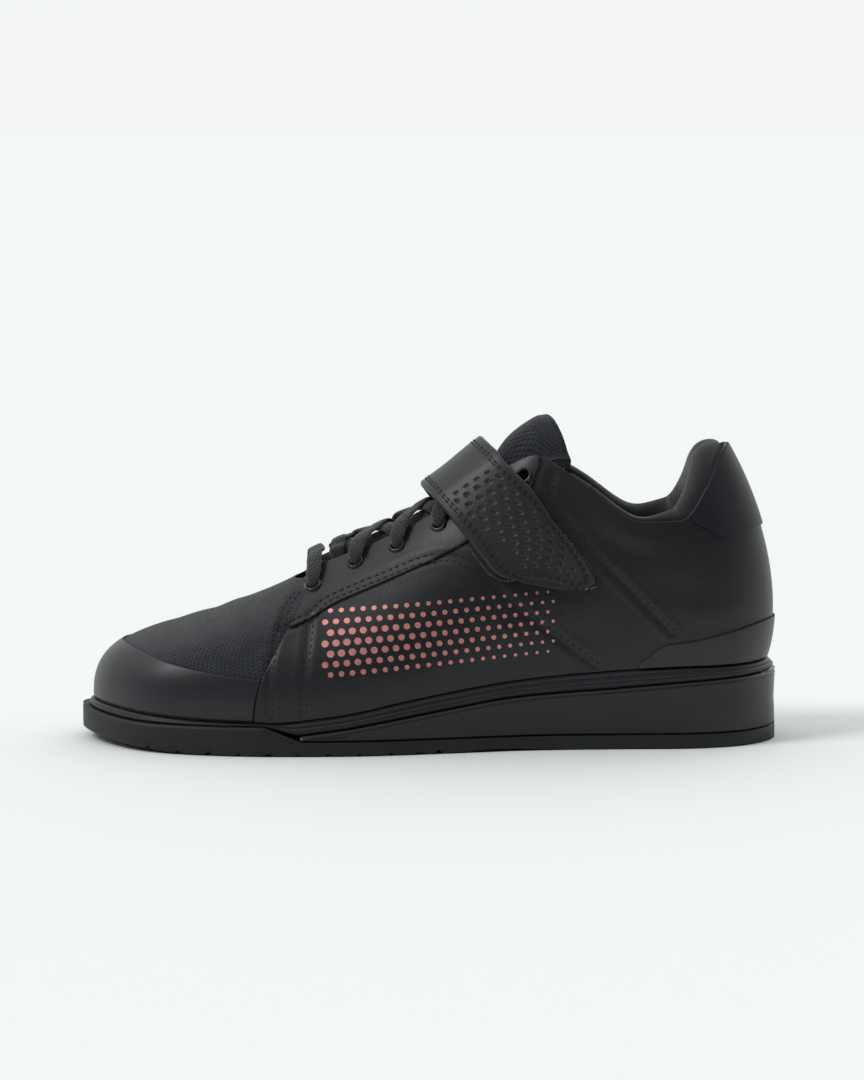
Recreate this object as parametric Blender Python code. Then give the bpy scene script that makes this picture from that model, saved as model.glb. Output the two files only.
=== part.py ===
# Weightlifting shoe for the left foot.
# Metres, +Z up, toe towards -X, outer side of the foot towards -Y.
# The origin is on the floor, under the middle of the shoe.
import math

import bmesh
import bpy
import numpy as np
from mathutils import Vector

# Driving sizes
SOLE_LENGTH = 0.2920
BALL_WIDTH = 0.1065
ACROSS_SHIFT = 0.0017
OUTSOLE_THICKNESS = 0.0062
FOXING_HEIGHT = 0.0120
FOXING_TOE_LIFT = 0.0022
TOE_SPRING = 0.0050
TOE_SPRING_SHARE = 0.24
ARCH_DEPTH = 0.0010
WEDGE_HEIGHT = 0.0293
WEDGE_TIP = 0.0011
FEATHER_HEIGHT = 0.0340
GROOVE_DEPTH = 0.0013
GROOVE_WIDTH = 0.0018
GROOVE_PITCH = 0.0125
EDGE_ROUND = 0.0009
WEDGE_CHAMFER = 0.0016
MIDSOLE_RIDGE = 0.0030
MIDSOLE_RECESS = 0.0016
FEATHER_INSET = 0.0040
INSOLE_THICKNESS = 0.0040

UPPER_WALL = 0.0022
VAMP_STEP = 0.0012
PANEL_THICKNESS = 0.0008
HEEL_TOP = 0.1245
OPENING_FRONT_SHARE = 0.305
OPENING_BACK_SHARE = 0.9265
COLLAR_WIDTH = 0.0570
THROAT_SHIFT = 0.0025
QUARTER_FRONT_SHARE = 0.25

TONGUE_THICKNESS = 0.0050
TONGUE_RISE = 0.0035
TONGUE_CROWN = 0.0110
TONGUE_WRAP = 0.0140
TONGUE_CLEARANCE = 0.0010
TONGUE_LEAN = 0.0035
COLLAR_PADDING = 0.0065
HEEL_PADDING = 0.0160
COLLAR_ROLL = 0.0036
HEEL_ROLL = 0.0052

EYELET_HOLE = 0.0046
EYELET_FLANGE = 0.0074
EYELET_HEIGHT = 0.0007
EYELET_COUNT = 6
EYELET_FIRST_X = -0.0483
EYELET_PITCH = 0.0175
EYELET_SETBACK = 0.0080
EYELET_FIRST_SETBACK = 0.0130
LACE_WIDTH = 0.0068
LACE_THICKNESS = 0.0018

STRAP_THICKNESS = 0.0026
PAD_THICKNESS = 0.0010
PAD_OVERHANG = 0.0012

GAP = 0.0003
PANEL_SEAT = 0.00048
SIDE_STATIONS = 32

# Outline of the sole: share of the length from the toe, then how far the outer
# and the inner edge lie from the centre line, as shares of the ball width.
OUTLINE = (
    # share, outer, inner
    (0.000, -0.055, 0.055),
    (0.030, 0.190, 0.280),
    (0.100, 0.385, 0.408),
    (0.200, 0.482, 0.472),
    (0.310, 0.512, 0.480),
    (0.420, 0.496, 0.436),
    (0.530, 0.436, 0.372),
    (0.640, 0.374, 0.334),
    (0.760, 0.350, 0.340),
    (0.860, 0.342, 0.342),
    (0.940, 0.278, 0.282),
    (0.985, 0.150, 0.152),
    (1.000, 0.000, 0.000),
)

# Heights along the sole: share of the length, then the top of the wedge as a
# share of WEDGE_HEIGHT and the feather line as a share of FEATHER_HEIGHT.
LEVELS = (
    # share, wedge, feather
    (0.000, 0.200, 0.490),
    (0.030, 0.200, 0.478),
    (0.100, 0.200, 0.435),
    (0.200, 0.200, 0.395),
    (0.280, 0.240, 0.385),
    (0.330, 0.305, 0.425),
    (0.380, 0.372, 0.480),
    (0.460, 0.508, 0.620),
    (0.530, 0.625, 0.728),
    (0.600, 0.735, 0.820),
    (0.680, 0.805, 0.892),
    (0.760, 0.858, 0.945),
    (0.880, 0.952, 0.998),
    (1.000, 1.000, 1.000),
)

# Sections of the upper, from the toe to the back of the heel. Each runs from the
# feather line up to the edge of the opening:
# base: share of the sole length where it starts
# top: share of the opening's length where it ends
# gap: half the opening there, as a share of COLLAR_WIDTH
# height: of the opening's edge, as a share of HEEL_TOP
# belly: how far the wall swells outwards, as a share of BALL_WIDTH
# rise: how far it climbs before it turns in, as a share of its own height
# reach, drop: how it leaves the edge, outwards as a share of BALL_WIDTH and
# downwards as a share of its own height
SECTIONS = (
    # base, top, gap, height, belly, rise, reach, drop
    (0.000, 0.0000, 0.000, 0.552, 0.015, 0.690, 0.440, 0.470),
    (0.030, 0.0049, 0.100, 0.553, 0.015, 0.665, 0.420, 0.450),
    (0.100, 0.0170, 0.165, 0.557, 0.020, 0.590, 0.360, 0.400),
    (0.190, 0.0330, 0.200, 0.570, 0.026, 0.480, 0.300, 0.340),
    (0.250, 0.0500, 0.215, 0.586, 0.028, 0.430, 0.262, 0.310),
    (0.330, 0.1100, 0.226, 0.624, 0.028, 0.390, 0.225, 0.270),
    (0.430, 0.2350, 0.236, 0.700, 0.024, 0.370, 0.185, 0.220),
    (0.530, 0.3650, 0.252, 0.805, 0.020, 0.370, 0.150, 0.180),
    (0.620, 0.5000, 0.290, 0.935, 0.016, 0.360, 0.105, 0.140),
    (0.660, 0.5600, 0.330, 0.970, 0.014, 0.360, 0.075, 0.150),
    (0.720, 0.6550, 0.430, 0.893, 0.012, 0.370, 0.045, 0.240),
    (0.810, 0.8000, 0.500, 0.757, 0.014, 0.370, 0.035, 0.300),
    (0.870, 0.8850, 0.490, 0.760, 0.024, 0.340, 0.050, 0.300),
    (0.930, 0.9450, 0.390, 0.860, 0.045, 0.310, 0.085, 0.300),
    (0.975, 0.9800, 0.235, 0.965, 0.065, 0.290, 0.120, 0.300),
    (1.000, 1.0000, 0.000, 1.000, 0.078, 0.280, 0.150, 0.300),
)

# The strap from its tip on the outer side, over the instep, to its sewn end:
# girth: -1 at the outer feather line, 0 on the ridge, 1 at the inner one
# front, rear: its two edges, as shares of the sole length from the toe
# front lift, rear lift: of its edges above the wall, as shares of STRAP_LIFT
STRAP_LIFT = 0.0125
STRAP = (
    # girth, front, rear, front lift, rear lift
    (-0.700, 0.624, 0.706, 0.25, 0.25),
    (-0.684, 0.608, 0.722, 0.25, 0.25),
    (-0.650, 0.590, 0.735, 0.25, 0.25),
    (-0.600, 0.577, 0.724, 0.28, 0.26),
    (-0.500, 0.557, 0.672, 0.36, 0.30),
    (-0.380, 0.537, 0.636, 0.52, 0.42),
    (-0.240, 0.517, 0.612, 0.66, 0.66),
    (-0.120, 0.508, 0.602, 0.69, 0.84),
    (0.000, 0.504, 0.598, 0.70, 0.90),
    (0.120, 0.504, 0.597, 0.69, 0.78),
    (0.240, 0.508, 0.600, 0.66, 0.58),
    (0.380, 0.522, 0.610, 0.58, 0.40),
    (0.500, 0.534, 0.622, 0.40, 0.30),
    (0.640, 0.542, 0.634, 0.26, 0.26),
    (0.780, 0.554, 0.646, 0.24, 0.24),
)

UP = np.array((0.0, 0.0, 1.0))
UP_VECTOR = Vector((0.0, 0.0, 1.0))
TOE_X = -SOLE_LENGTH / 2
# On the girth, the edge of the throat lies this far from the ridge.
THROAT_GIRTH = 0.24
STEEPEST_INSTEP = 0.55


# Curves and tables

def angle_of(share):
    return math.acos(max(-1.0, min(1.0, 1 - 2 * share)))


class Curve:
    # A smooth curve through its knots, which never swings past them.
    def __init__(self, knots, values, start=None, end=None):
        self.knots = list(knots)
        self.values = list(values)
        count = len(self.knots)
        steps = [self.knots[i + 1] - self.knots[i] for i in range(count - 1)]
        slopes = [(self.values[i + 1] - self.values[i]) / steps[i] for i in range(count - 1)]
        self.tangents = [slopes[0] if start is None else start]
        for i in range(1, count - 1):
            before, after = slopes[i - 1], slopes[i]
            if before * after <= 0:
                self.tangents.append(0.0)
                continue
            mean = (before * steps[i] + after * steps[i - 1]) / (steps[i] + steps[i - 1])
            limit = 3 * min(abs(before), abs(after))
            self.tangents.append(math.copysign(min(abs(mean), limit), mean))
        self.tangents.append(slopes[-1] if end is None else end)

    def __call__(self, at):
        last = len(self.knots) - 1
        if at <= self.knots[0]:
            return self.values[0]
        if at >= self.knots[last]:
            return self.values[last]
        i = max(k for k in range(last) if self.knots[k] <= at)
        width = self.knots[i + 1] - self.knots[i]
        t = (at - self.knots[i]) / width
        square, cube = t * t, t * t * t
        return ((2 * cube - 3 * square + 1) * self.values[i]
                + (cube - 2 * square + t) * width * self.tangents[i]
                + (3 * square - 2 * cube) * self.values[i + 1]
                + (cube - square) * width * self.tangents[i + 1])


def column(rows, index):
    return [row[index] for row in rows]


OUTLINE_ANGLES = [angle_of(share) for share in column(OUTLINE, 0)]
SIDE_EDGE = {
    -1: Curve(OUTLINE_ANGLES, [-value for value in column(OUTLINE, 1)]),
    1: Curve(OUTLINE_ANGLES, column(OUTLINE, 2)),
}
WEDGE_LEVEL = Curve(column(LEVELS, 0), column(LEVELS, 1), 0.0, 0.0)
FEATHER_LEVEL = Curve(column(LEVELS, 0), column(LEVELS, 2))

SECTION_ANGLES = [angle_of(share) for share in column(SECTIONS, 0)]
TOP_ANGLE = Curve(SECTION_ANGLES, [angle_of(share) for share in column(SECTIONS, 1)])
TOP_GAP = Curve(SECTION_ANGLES, column(SECTIONS, 2))
TOP_HEIGHT = Curve(SECTION_ANGLES, column(SECTIONS, 3), 0.0, 0.0)
BELLY = Curve(SECTION_ANGLES, column(SECTIONS, 4), 0.0, 0.0)
RISE = Curve(SECTION_ANGLES, column(SECTIONS, 5), 0.0, 0.0)
REACH = Curve(SECTION_ANGLES, column(SECTIONS, 6), 0.0, 0.0)
DROP = Curve(SECTION_ANGLES, column(SECTIONS, 7), 0.0, 0.0)


# The sole's outline and levels

def share_of(x):
    return max(0.0, min(1.0, (x - TOE_X) / SOLE_LENGTH))


def edge_point(angle, side, inset=0.0):
    # The outline at this angle, moved in. Only the ends move along X, so that
    # all layers share their stations.
    x = TOE_X * math.cos(angle)
    x -= math.copysign(inset * abs(math.cos(angle)) ** 4, x)
    y = SIDE_EDGE[side](angle) * BALL_WIDTH + ACROSS_SHIFT
    return np.array((x, y - side * inset * math.sqrt(max(0.0, math.sin(angle))), 0.0))


def ground_level(x):
    # Toe spring in front, a shallow arch at the waist.
    share = share_of(x)
    ahead = max(0.0, 1 - share / TOE_SPRING_SHARE)
    arch_from, arch_to = 0.52, 0.68
    across = (share - arch_from) / (arch_to - arch_from)
    arch = math.sin(math.pi * across) ** 2 if 0 < across < 1 else 0.0
    return TOE_SPRING * ahead ** 2.4 + ARCH_DEPTH * arch


FOXING_END = 0.265
WEDGE_START = 0.315


def foxing_level(x):
    lift = max(0.0, 1 - share_of(x) / 0.1)
    return FOXING_HEIGHT + FOXING_TOE_LIFT * lift ** 2


def step_down(x):
    # 1 where the foxing stands at full height, 0 where the wedge lies on the outsole.
    return max(0.0, min(1.0, (WEDGE_START - share_of(x)) / (WEDGE_START - FOXING_END)))


def outsole_level(x):
    full = step_down(x)
    return full * foxing_level(x) + (1 - full) * OUTSOLE_THICKNESS


def wedge_level(x):
    return max(WEDGE_LEVEL(share_of(x)) * WEDGE_HEIGHT, OUTSOLE_THICKNESS + GAP + WEDGE_TIP)


def midsole_seat(x):
    # What the midsole rests on: the foxing in front, the wedge behind.
    full = step_down(x)
    return full * foxing_level(x) + (1 - full) * wedge_level(x) + GAP


def feather_level(x):
    return max(FEATHER_LEVEL(share_of(x)) * FEATHER_HEIGHT, midsole_seat(x) + GAP * 3)


STATIONS = sorted([math.pi * i / SIDE_STATIONS for i in range(SIDE_STATIONS + 1)]
                  + [angle_of(FOXING_END), angle_of(WEDGE_START)])


# The upper's own surface

def outline_normal(angle, side):
    step = 0.02
    ahead = edge_point(min(math.pi, angle + step), side)
    behind = edge_point(max(0.0, angle - step), side)
    if angle < step:
        behind = edge_point(step - angle, -side)
    if angle > math.pi - step:
        ahead = edge_point(2 * math.pi - angle - step, -side)
    run = ahead - behind
    normal = np.array((run[1], -run[0], 0.0)) * -side
    return normal / np.linalg.norm(normal)


OPENING_FRONT = TOE_X + OPENING_FRONT_SHARE * SOLE_LENGTH
OPENING_BACK = TOE_X + OPENING_BACK_SHARE * SOLE_LENGTH


def opening_point(angle, side):
    turn = TOP_ANGLE(angle)
    middle = (OPENING_FRONT + OPENING_BACK) / 2
    x = middle - (OPENING_BACK - OPENING_FRONT) / 2 * math.cos(turn)
    shift = ACROSS_SHIFT + THROAT_SHIFT * (1 - turn / math.pi)
    return np.array((x, side * TOP_GAP(angle) * COLLAR_WIDTH + shift,
                     TOP_HEIGHT(angle) * HEEL_TOP))


def opening_normal(angle, side):
    step = 0.03
    ahead = opening_point(min(math.pi, angle + step), side)
    behind = opening_point(max(0.0, angle - step), side)
    if angle < step:
        behind = opening_point(step - angle, -side)
    if angle > math.pi - step:
        ahead = opening_point(2 * math.pi - angle - step, -side)
    run = ahead - behind
    normal = np.array((run[1], -run[0], 0.0)) * -side
    return normal / np.linalg.norm(normal)


def section_handles(angle, side):
    base = edge_point(angle, side, FEATHER_INSET)
    base[2] = feather_level(base[0]) + GAP
    top = opening_point(angle, side)
    height = top[2] - base[2]
    low = base + outline_normal(angle, side) * BELLY(angle) * BALL_WIDTH + UP * RISE(angle) * height
    high = top + opening_normal(angle, side) * REACH(angle) * BALL_WIDTH - UP * DROP(angle) * height
    return base, low, high, top


def wall_point(angle, side, v):
    # v is 0 at the feather line and 1 at the edge of the opening.
    base, low, high, top = section_handles(angle, side)
    w = 1 - v
    return w ** 3 * base + 3 * w * w * v * low + 3 * w * v * v * high + v ** 3 * top


def leaving(handles):
    # The way a section leaves its edge, no steeper than the top of a foot.
    run = handles[3] - handles[2]
    level = math.hypot(run[0], run[1])
    run[2] = min(run[2], STEEPEST_INSTEP * level)
    return run / np.linalg.norm(run)


def body_point(angle, girth):
    # Over the whole foot: the outer wall, the open throat and the inner wall.
    if abs(girth) >= THROAT_GIRTH:
        side = -1 if girth < 0 else 1
        return wall_point(angle, side, (1 - abs(girth)) / (1 - THROAT_GIRTH))
    outer = section_handles(angle, -1)
    inner = section_handles(angle, 1)
    from_outer, from_inner = leaving(outer), leaving(inner)
    reach = np.linalg.norm(inner[3] - outer[3]) * 0.36
    t = (girth + THROAT_GIRTH) / (2 * THROAT_GIRTH)
    w = 1 - t
    return (w ** 3 * outer[3] + 3 * w * w * t * (outer[3] + from_outer * reach)
            + 3 * w * t * t * (inner[3] + from_inner * reach) + t ** 3 * inner[3])


def body_at(x, girth):
    # The angle whose section passes this x at this girth.
    low, high = 0.0, math.pi
    for _ in range(34):
        middle = (low + high) / 2
        if body_point(middle, girth)[0] < x:
            low = middle
        else:
            high = middle
    return (low + high) / 2


def body_normal(angle, girth):
    step = 0.01
    along = body_point(angle + step, girth) - body_point(angle - step, girth)
    across = body_point(angle, girth + step) - body_point(angle, girth - step)
    normal = np.cross(along, across)
    return normal / np.linalg.norm(normal)


# Meshes

def make_material(name, colour, roughness, metallic=0.0):
    material = bpy.data.materials.new(name)
    material.use_nodes = True
    shader = material.node_tree.nodes["Principled BSDF"]
    shader.inputs["Base Color"].default_value = (*colour, 1.0)
    shader.inputs["Roughness"].default_value = roughness
    shader.inputs["Metallic"].default_value = metallic
    return material


def make_object(name, vertices, faces, material):
    mesh = bpy.data.meshes.new(name)
    mesh.from_pydata([tuple(float(c) for c in v) for v in vertices], [], faces)
    mesh.update()
    bm = bmesh.new()
    bm.from_mesh(mesh)
    bmesh.ops.recalc_face_normals(bm, faces=bm.faces)
    bm.to_mesh(mesh)
    bm.free()
    thing = bpy.data.objects.new(name, mesh)
    bpy.context.collection.objects.link(thing)
    mesh.materials.append(material)
    mesh.shade_smooth()
    mesh.set_sharp_from_angle(angle=math.radians(35))
    return thing


def cut(thing, cutter, operation="DIFFERENCE"):
    cutter.hide_render = True
    cutter.display_type = "WIRE"
    modifier = thing.modifiers.new("cut " + cutter.name, "BOOLEAN")
    modifier.operation = operation
    modifier.solver = "EXACT"
    modifier.use_self = True
    modifier.object = cutter


def layer(name, rings, material, first=0.0):
    # A slab of the sole. Each ring gives an inset and a level for a station.
    # Stations ahead of the share `first` are left out.
    angles = [a for a in STATIONS if (1 - math.cos(a)) / 2 >= first - 1e-6]
    blunt = first > 0
    vertices, loops = [], []
    for inset_at, level_at in rings:
        outer, inner = [], []
        for angle in angles:
            x = TOE_X * math.cos(angle)
            for side, store in ((-1, outer), (1, inner)):
                point = edge_point(angle, side, inset_at(x))
                point[2] = level_at(point[0])
                store.append(point)
        loop = outer + (inner[-2::-1] if blunt else inner[-2:0:-1])
        loops.append(list(range(len(vertices), len(vertices) + len(loop))))
        vertices += loop
    faces = []
    for below, above in zip(loops, loops[1:]):
        for i in range(len(below)):
            j = (i + 1) % len(below)
            faces.append((below[i], below[j], above[j], above[i]))
    for loop, flip in ((loops[0], True), (loops[-1], False)):
        last = len(angles) - 1
        count = len(loop)
        for i in range(last):
            a, b = loop[i], loop[i + 1]
            opposite = (count - 1 - i, count - 2 - i) if blunt else (count - i, count - i - 1)
            c, d = loop[opposite[1] % count], loop[opposite[0] % count]
            face = [a, b] + ([c] if c != b else []) + ([d] if d != a else [])
            faces.append(tuple(reversed(face)) if flip else tuple(face))
    return make_object(name, vertices, faces, material)


def constant(value):
    return lambda x: value


def grid_normals(points, closed):
    along = np.roll(points, -1, axis=0) - np.roll(points, 1, axis=0)
    if not closed:
        along[0] = points[1] - points[0]
        along[-1] = points[-1] - points[-2]
    up = np.empty_like(points)
    up[:, 1:-1] = points[:, 2:] - points[:, :-2]
    up[:, 0] = points[:, 1] - points[:, 0]
    up[:, -1] = points[:, -1] - points[:, -2]
    normals = np.cross(along, up)
    return normals / np.linalg.norm(normals, axis=2, keepdims=True)


def sheet(name, points, outside, inside, material, closed=False, normals=None):
    # A wall between two offsets from a grid of points. The offsets are numbers
    # or grids of the same size, positive outwards.
    points = np.array(points)
    if normals is None:
        normals = grid_normals(points, closed)
    outside = np.broadcast_to(np.asarray(outside, float), points.shape[:2])
    inside = np.broadcast_to(np.asarray(inside, float), points.shape[:2])
    outer = points + normals * outside[..., None]
    inner = points + normals * inside[..., None]
    rows, columns = points.shape[:2]
    vertices = list(outer.reshape(-1, 3)) + list(inner.reshape(-1, 3))
    total = rows * columns

    def at(i, j, deep=False):
        return (i % rows) * columns + j + (total if deep else 0)

    faces = []
    for i in range(rows if closed else rows - 1):
        for j in range(columns - 1):
            faces.append((at(i, j), at(i + 1, j), at(i + 1, j + 1), at(i, j + 1)))
            faces.append((at(i, j + 1, True), at(i + 1, j + 1, True), at(i + 1, j, True), at(i, j, True)))
        faces.append((at(i, 0), at(i, 0, True), at(i + 1, 0, True), at(i + 1, 0)))
        faces.append((at(i + 1, columns - 1), at(i + 1, columns - 1, True),
                      at(i, columns - 1, True), at(i, columns - 1)))
    if not closed:
        for j in range(columns - 1):
            faces.append((at(0, j), at(0, j + 1), at(0, j + 1, True), at(0, j, True)))
            faces.append((at(rows - 1, j + 1), at(rows - 1, j),
                          at(rows - 1, j, True), at(rows - 1, j + 1, True)))
    return make_object(name, vertices, faces, material)


# Sole pieces

def build_outsole(material):
    full = constant(0.0)
    edge = constant(EDGE_ROUND)
    outsole = layer("outsole", (
        (edge, ground_level),
        (full, lambda x: ground_level(x) + EDGE_ROUND),
        (full, lambda x: outsole_level(x) - EDGE_ROUND),
        (edge, outsole_level),
    ), material)
    bm = bmesh.new()
    across = BALL_WIDTH * 1.4
    first, last = 0.10, 0.49
    count = int((last - first) * SOLE_LENGTH / GROOVE_PITCH)
    grooves = [(TOE_X + first * SOLE_LENGTH + i * GROOVE_PITCH, across, GROOVE_DEPTH)
               for i in range(count + 1)]
    heel_width = BALL_WIDTH * 0.42
    grooves += [(TOE_X + share * SOLE_LENGTH, heel_width, GROOVE_DEPTH)
                for share in (0.74, 0.79, 0.84, 0.89)]
    grooves.append((TOE_X + 0.51 * SOLE_LENGTH, across, GROOVE_DEPTH * 1.9))
    for x, width, depth in grooves:
        low = -depth
        high = ground_level(x) + depth
        made = bmesh.ops.create_cube(bm, size=1.0)
        bmesh.ops.scale(bm, vec=(GROOVE_WIDTH, width, high - low), verts=made["verts"])
        bmesh.ops.translate(bm, vec=(x, 0.0, (high + low) / 2), verts=made["verts"])
    mesh = bpy.data.meshes.new("tread cutter")
    bm.to_mesh(mesh)
    bm.free()
    cutter = bpy.data.objects.new("tread cutter", mesh)
    bpy.context.collection.objects.link(cutter)
    cut(outsole, cutter)


def build_wedge(material):
    full = constant(0.0)
    seat = lambda x: outsole_level(x) + GAP
    layer("heel_wedge", (
        (full, seat),
        (full, lambda x: max(seat(x) + WEDGE_TIP / 2, wedge_level(x) - WEDGE_CHAMFER)),
        (constant(WEDGE_CHAMFER * 0.6), lambda x: max(seat(x) + WEDGE_TIP, wedge_level(x))),
    ), material, first=WEDGE_START)


def build_midsole(material):
    def mix(front, rear):
        return lambda x: step_down(x) * front + (1 - step_down(x)) * rear

    def part_way(share):
        return lambda x: midsole_seat(x) + share * (feather_level(x) - midsole_seat(x))

    layer("midsole", (
        (mix(FEATHER_INSET * 0.7, MIDSOLE_RECESS), midsole_seat),
        (mix(FEATHER_INSET * 0.7, MIDSOLE_RECESS * 0.6), part_way(0.40)),
        (mix(FEATHER_INSET * 0.8, MIDSOLE_RECESS * 0.9), part_way(0.58)),
        (mix(FEATHER_INSET * 0.95, FEATHER_INSET * 0.85), part_way(0.72)),
        (mix(FEATHER_INSET, FEATHER_INSET), feather_level),
    ), material)


def build_insole(material):
    inset = FEATHER_INSET + UPPER_WALL + GAP * 2
    layer("insole", (
        (constant(inset + EDGE_ROUND), lambda x: feather_level(x) + GAP),
        (constant(inset), lambda x: feather_level(x) + GAP + INSOLE_THICKNESS * 0.35),
        (constant(inset), lambda x: feather_level(x) + GAP + INSOLE_THICKNESS * 0.8),
        (constant(inset + EDGE_ROUND), lambda x: feather_level(x) + GAP + INSOLE_THICKNESS),
    ), material)


# Upper and its panels

QUARTER_ANGLE = angle_of(QUARTER_FRONT_SHARE)
STEP_ANGLE = 0.0026
RINGS = (0.0, 0.05, 0.115, 0.20, 0.30, 0.41, 0.53, 0.65, 0.77, 0.89, 1.0)


def upper_angles():
    angles = [math.pi * i / SIDE_STATIONS for i in range(SIDE_STATIONS + 1)]
    return sorted(angles + [QUARTER_ANGLE - STEP_ANGLE, QUARTER_ANGLE + STEP_ANGLE])


def around():
    # All sections in turn: outer side from toe to heel, inner side back to the toe.
    angles = upper_angles()
    return [(a, -1) for a in angles] + [(a, 1) for a in reversed(angles[1:-1])]


def build_upper(material, cutter):
    spokes = around()
    points = [[wall_point(a, side, v) for v in RINGS] for a, side in spokes]
    outside = [[-VAMP_STEP if a < QUARTER_ANGLE else 0.0 for _ in RINGS] for a, _ in spokes]
    upper = sheet("upper", points, outside, -UPPER_WALL, material, closed=True)
    cut(upper, cutter)
    return upper


def panel(name, spokes, low_at, high_at, count, seat, material):
    # An overlay on the upper's own sections, from one height to another.
    points = []
    for a, side in spokes:
        low, high = low_at(a), high_at(a)
        points.append([wall_point(a, side, low + (high - low) * k / count) for k in range(count + 1)])
    return sheet(name, points, seat + PANEL_THICKNESS, seat, material)


def build_toe_guard(material):
    angles = [a for a in upper_angles() if a < QUARTER_ANGLE - 2 * STEP_ANGLE]
    angles.append(QUARTER_ANGLE - 2 * STEP_ANGLE)
    spokes = [(a, 1) for a in reversed(angles[1:])] + [(a, -1) for a in angles]
    top = Curve((0.0, angle_of(0.03), angle_of(0.10), QUARTER_ANGLE), (0.36, 0.345, 0.30, 0.255), 0.0)
    panel("toe_guard", spokes, lambda a: 0.01, top, 5, GAP - VAMP_STEP, material)


def build_heel_tab(material):
    front = angle_of(0.895)
    angles = [front] + [a for a in upper_angles() if a > front + 0.02]
    spokes = [(a, -1) for a in angles] + [(a, 1) for a in reversed(angles[:-1])]
    low = Curve((front, angle_of(0.94), math.pi), (0.93, 0.70, 0.62), None, 0.0)
    panel("heel_tab", spokes, low, lambda a: 0.99, 4, GAP, material)


def build_heel_counter(material):
    front = angle_of(0.80)
    angles = [front] + [a for a in upper_angles() if a > front + 0.02]
    spokes = [(a, -1) for a in angles] + [(a, 1) for a in reversed(angles[:-1])]
    high = Curve((front, angle_of(0.845), math.pi), (0.035, 0.15, 0.21), None, 0.0)
    panel("heel_counter", spokes, lambda a: 0.005, high, 3, GAP, material)


EYESTAY_BACK_SHARE = 0.665


def build_eyestays(material, cutter):
    back = angle_of(EYESTAY_BACK_SHARE)
    start = QUARTER_ANGLE + 2 * STEP_ANGLE
    angles = [start] + [a for a in upper_angles() if start + 0.02 < a < back - 0.02] + [back]
    low = Curve((start, angle_of(0.33), angle_of(0.43), angle_of(0.56), back),
                (0.60, 0.68, 0.70, 0.68, 0.80))
    for side, name in ((-1, "eyestay_outer"), (1, "eyestay_inner")):
        spokes = [(a, side) for a in (angles if side < 0 else angles[::-1])]
        eyestay = panel(name, spokes, low, lambda a: 0.992, 3, PANEL_SEAT, material)
        cut(eyestay, cutter)


# Eyelets

def eyelet_places():
    # Even steps along the throat, set back from its edge, the first one further.
    places = []
    for side in (-1, 1):
        for i in range(EYELET_COUNT):
            setback = EYELET_FIRST_SETBACK if i == 0 else EYELET_SETBACK
            x = EYELET_FIRST_X + i * EYELET_PITCH
            v = 1.0
            angle = body_at(x, side * THROAT_GIRTH)
            while np.linalg.norm(wall_point(angle, side, v) - wall_point(angle, side, 1.0)) < setback:
                v -= 0.004
                angle = body_at(x, side * (1 - v * (1 - THROAT_GIRTH)))
            places.append((side, i + 1, angle, v))
    return places


def wall_frame(angle, side, v):
    girth = side * (1 - v * (1 - THROAT_GIRTH))
    return body_point(angle, girth), body_normal(angle, girth)


def turned(name, profile, centre, axis, segments, material):
    # A ring turned about an axis, from a closed profile of radius and height.
    helper = np.array((1.0, 0.0, 0.0))
    first = np.cross(axis, helper)
    first /= np.linalg.norm(first)
    second = np.cross(axis, first)
    vertices, faces = [], []
    for i in range(segments):
        turn = 2 * math.pi * i / segments
        direction = first * math.cos(turn) + second * math.sin(turn)
        vertices += [centre + direction * radius + axis * height for radius, height in profile]
    count = len(profile)
    for i in range(segments):
        for j in range(count):
            a, b = i * count + j, i * count + (j + 1) % count
            c, d = (i + 1) % segments * count + (j + 1) % count, (i + 1) % segments * count + j
            faces.append((a, b, c, d))
    return make_object(name, vertices, faces, material)


def hole_cutter(places):
    bm = bmesh.new()
    radius = EYELET_HOLE / 2 + 2 * GAP
    for side, _, angle, v in places:
        centre, normal = wall_frame(angle, side, v)
        made = bmesh.ops.create_cone(bm, cap_ends=True, segments=8, radius1=radius,
                                     radius2=radius, depth=UPPER_WALL * 5)
        turn = UP_VECTOR.rotation_difference(Vector(normal)).to_matrix()
        bmesh.ops.rotate(bm, matrix=turn, verts=made["verts"])
        bmesh.ops.translate(bm, vec=Vector(centre), verts=made["verts"])
    mesh = bpy.data.meshes.new("eyelet cutter")
    bm.to_mesh(mesh)
    bm.free()
    cutter = bpy.data.objects.new("eyelet cutter", mesh)
    bpy.context.collection.objects.link(cutter)
    return cutter


def build_eyelets(places, material):
    seat = PANEL_SEAT + PANEL_THICKNESS + GAP * 1.5
    hole = EYELET_HOLE / 2
    barrel = hole + GAP
    flange = EYELET_FLANGE / 2
    for side, number, angle, v in places:
        centre, normal = wall_frame(angle, side, v)
        profile = ((hole - GAP, -UPPER_WALL * 0.8), (hole - GAP, seat + EYELET_HEIGHT),
                   (flange - GAP, seat + EYELET_HEIGHT), (flange, seat), (barrel, seat),
                   (barrel, -UPPER_WALL * 0.8))
        word = "outer" if side < 0 else "inner"
        turned("eyelet_%s_%d" % (word, number), profile, centre, normal, 8, material)


# Tongue, padding, laces, strap

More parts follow.
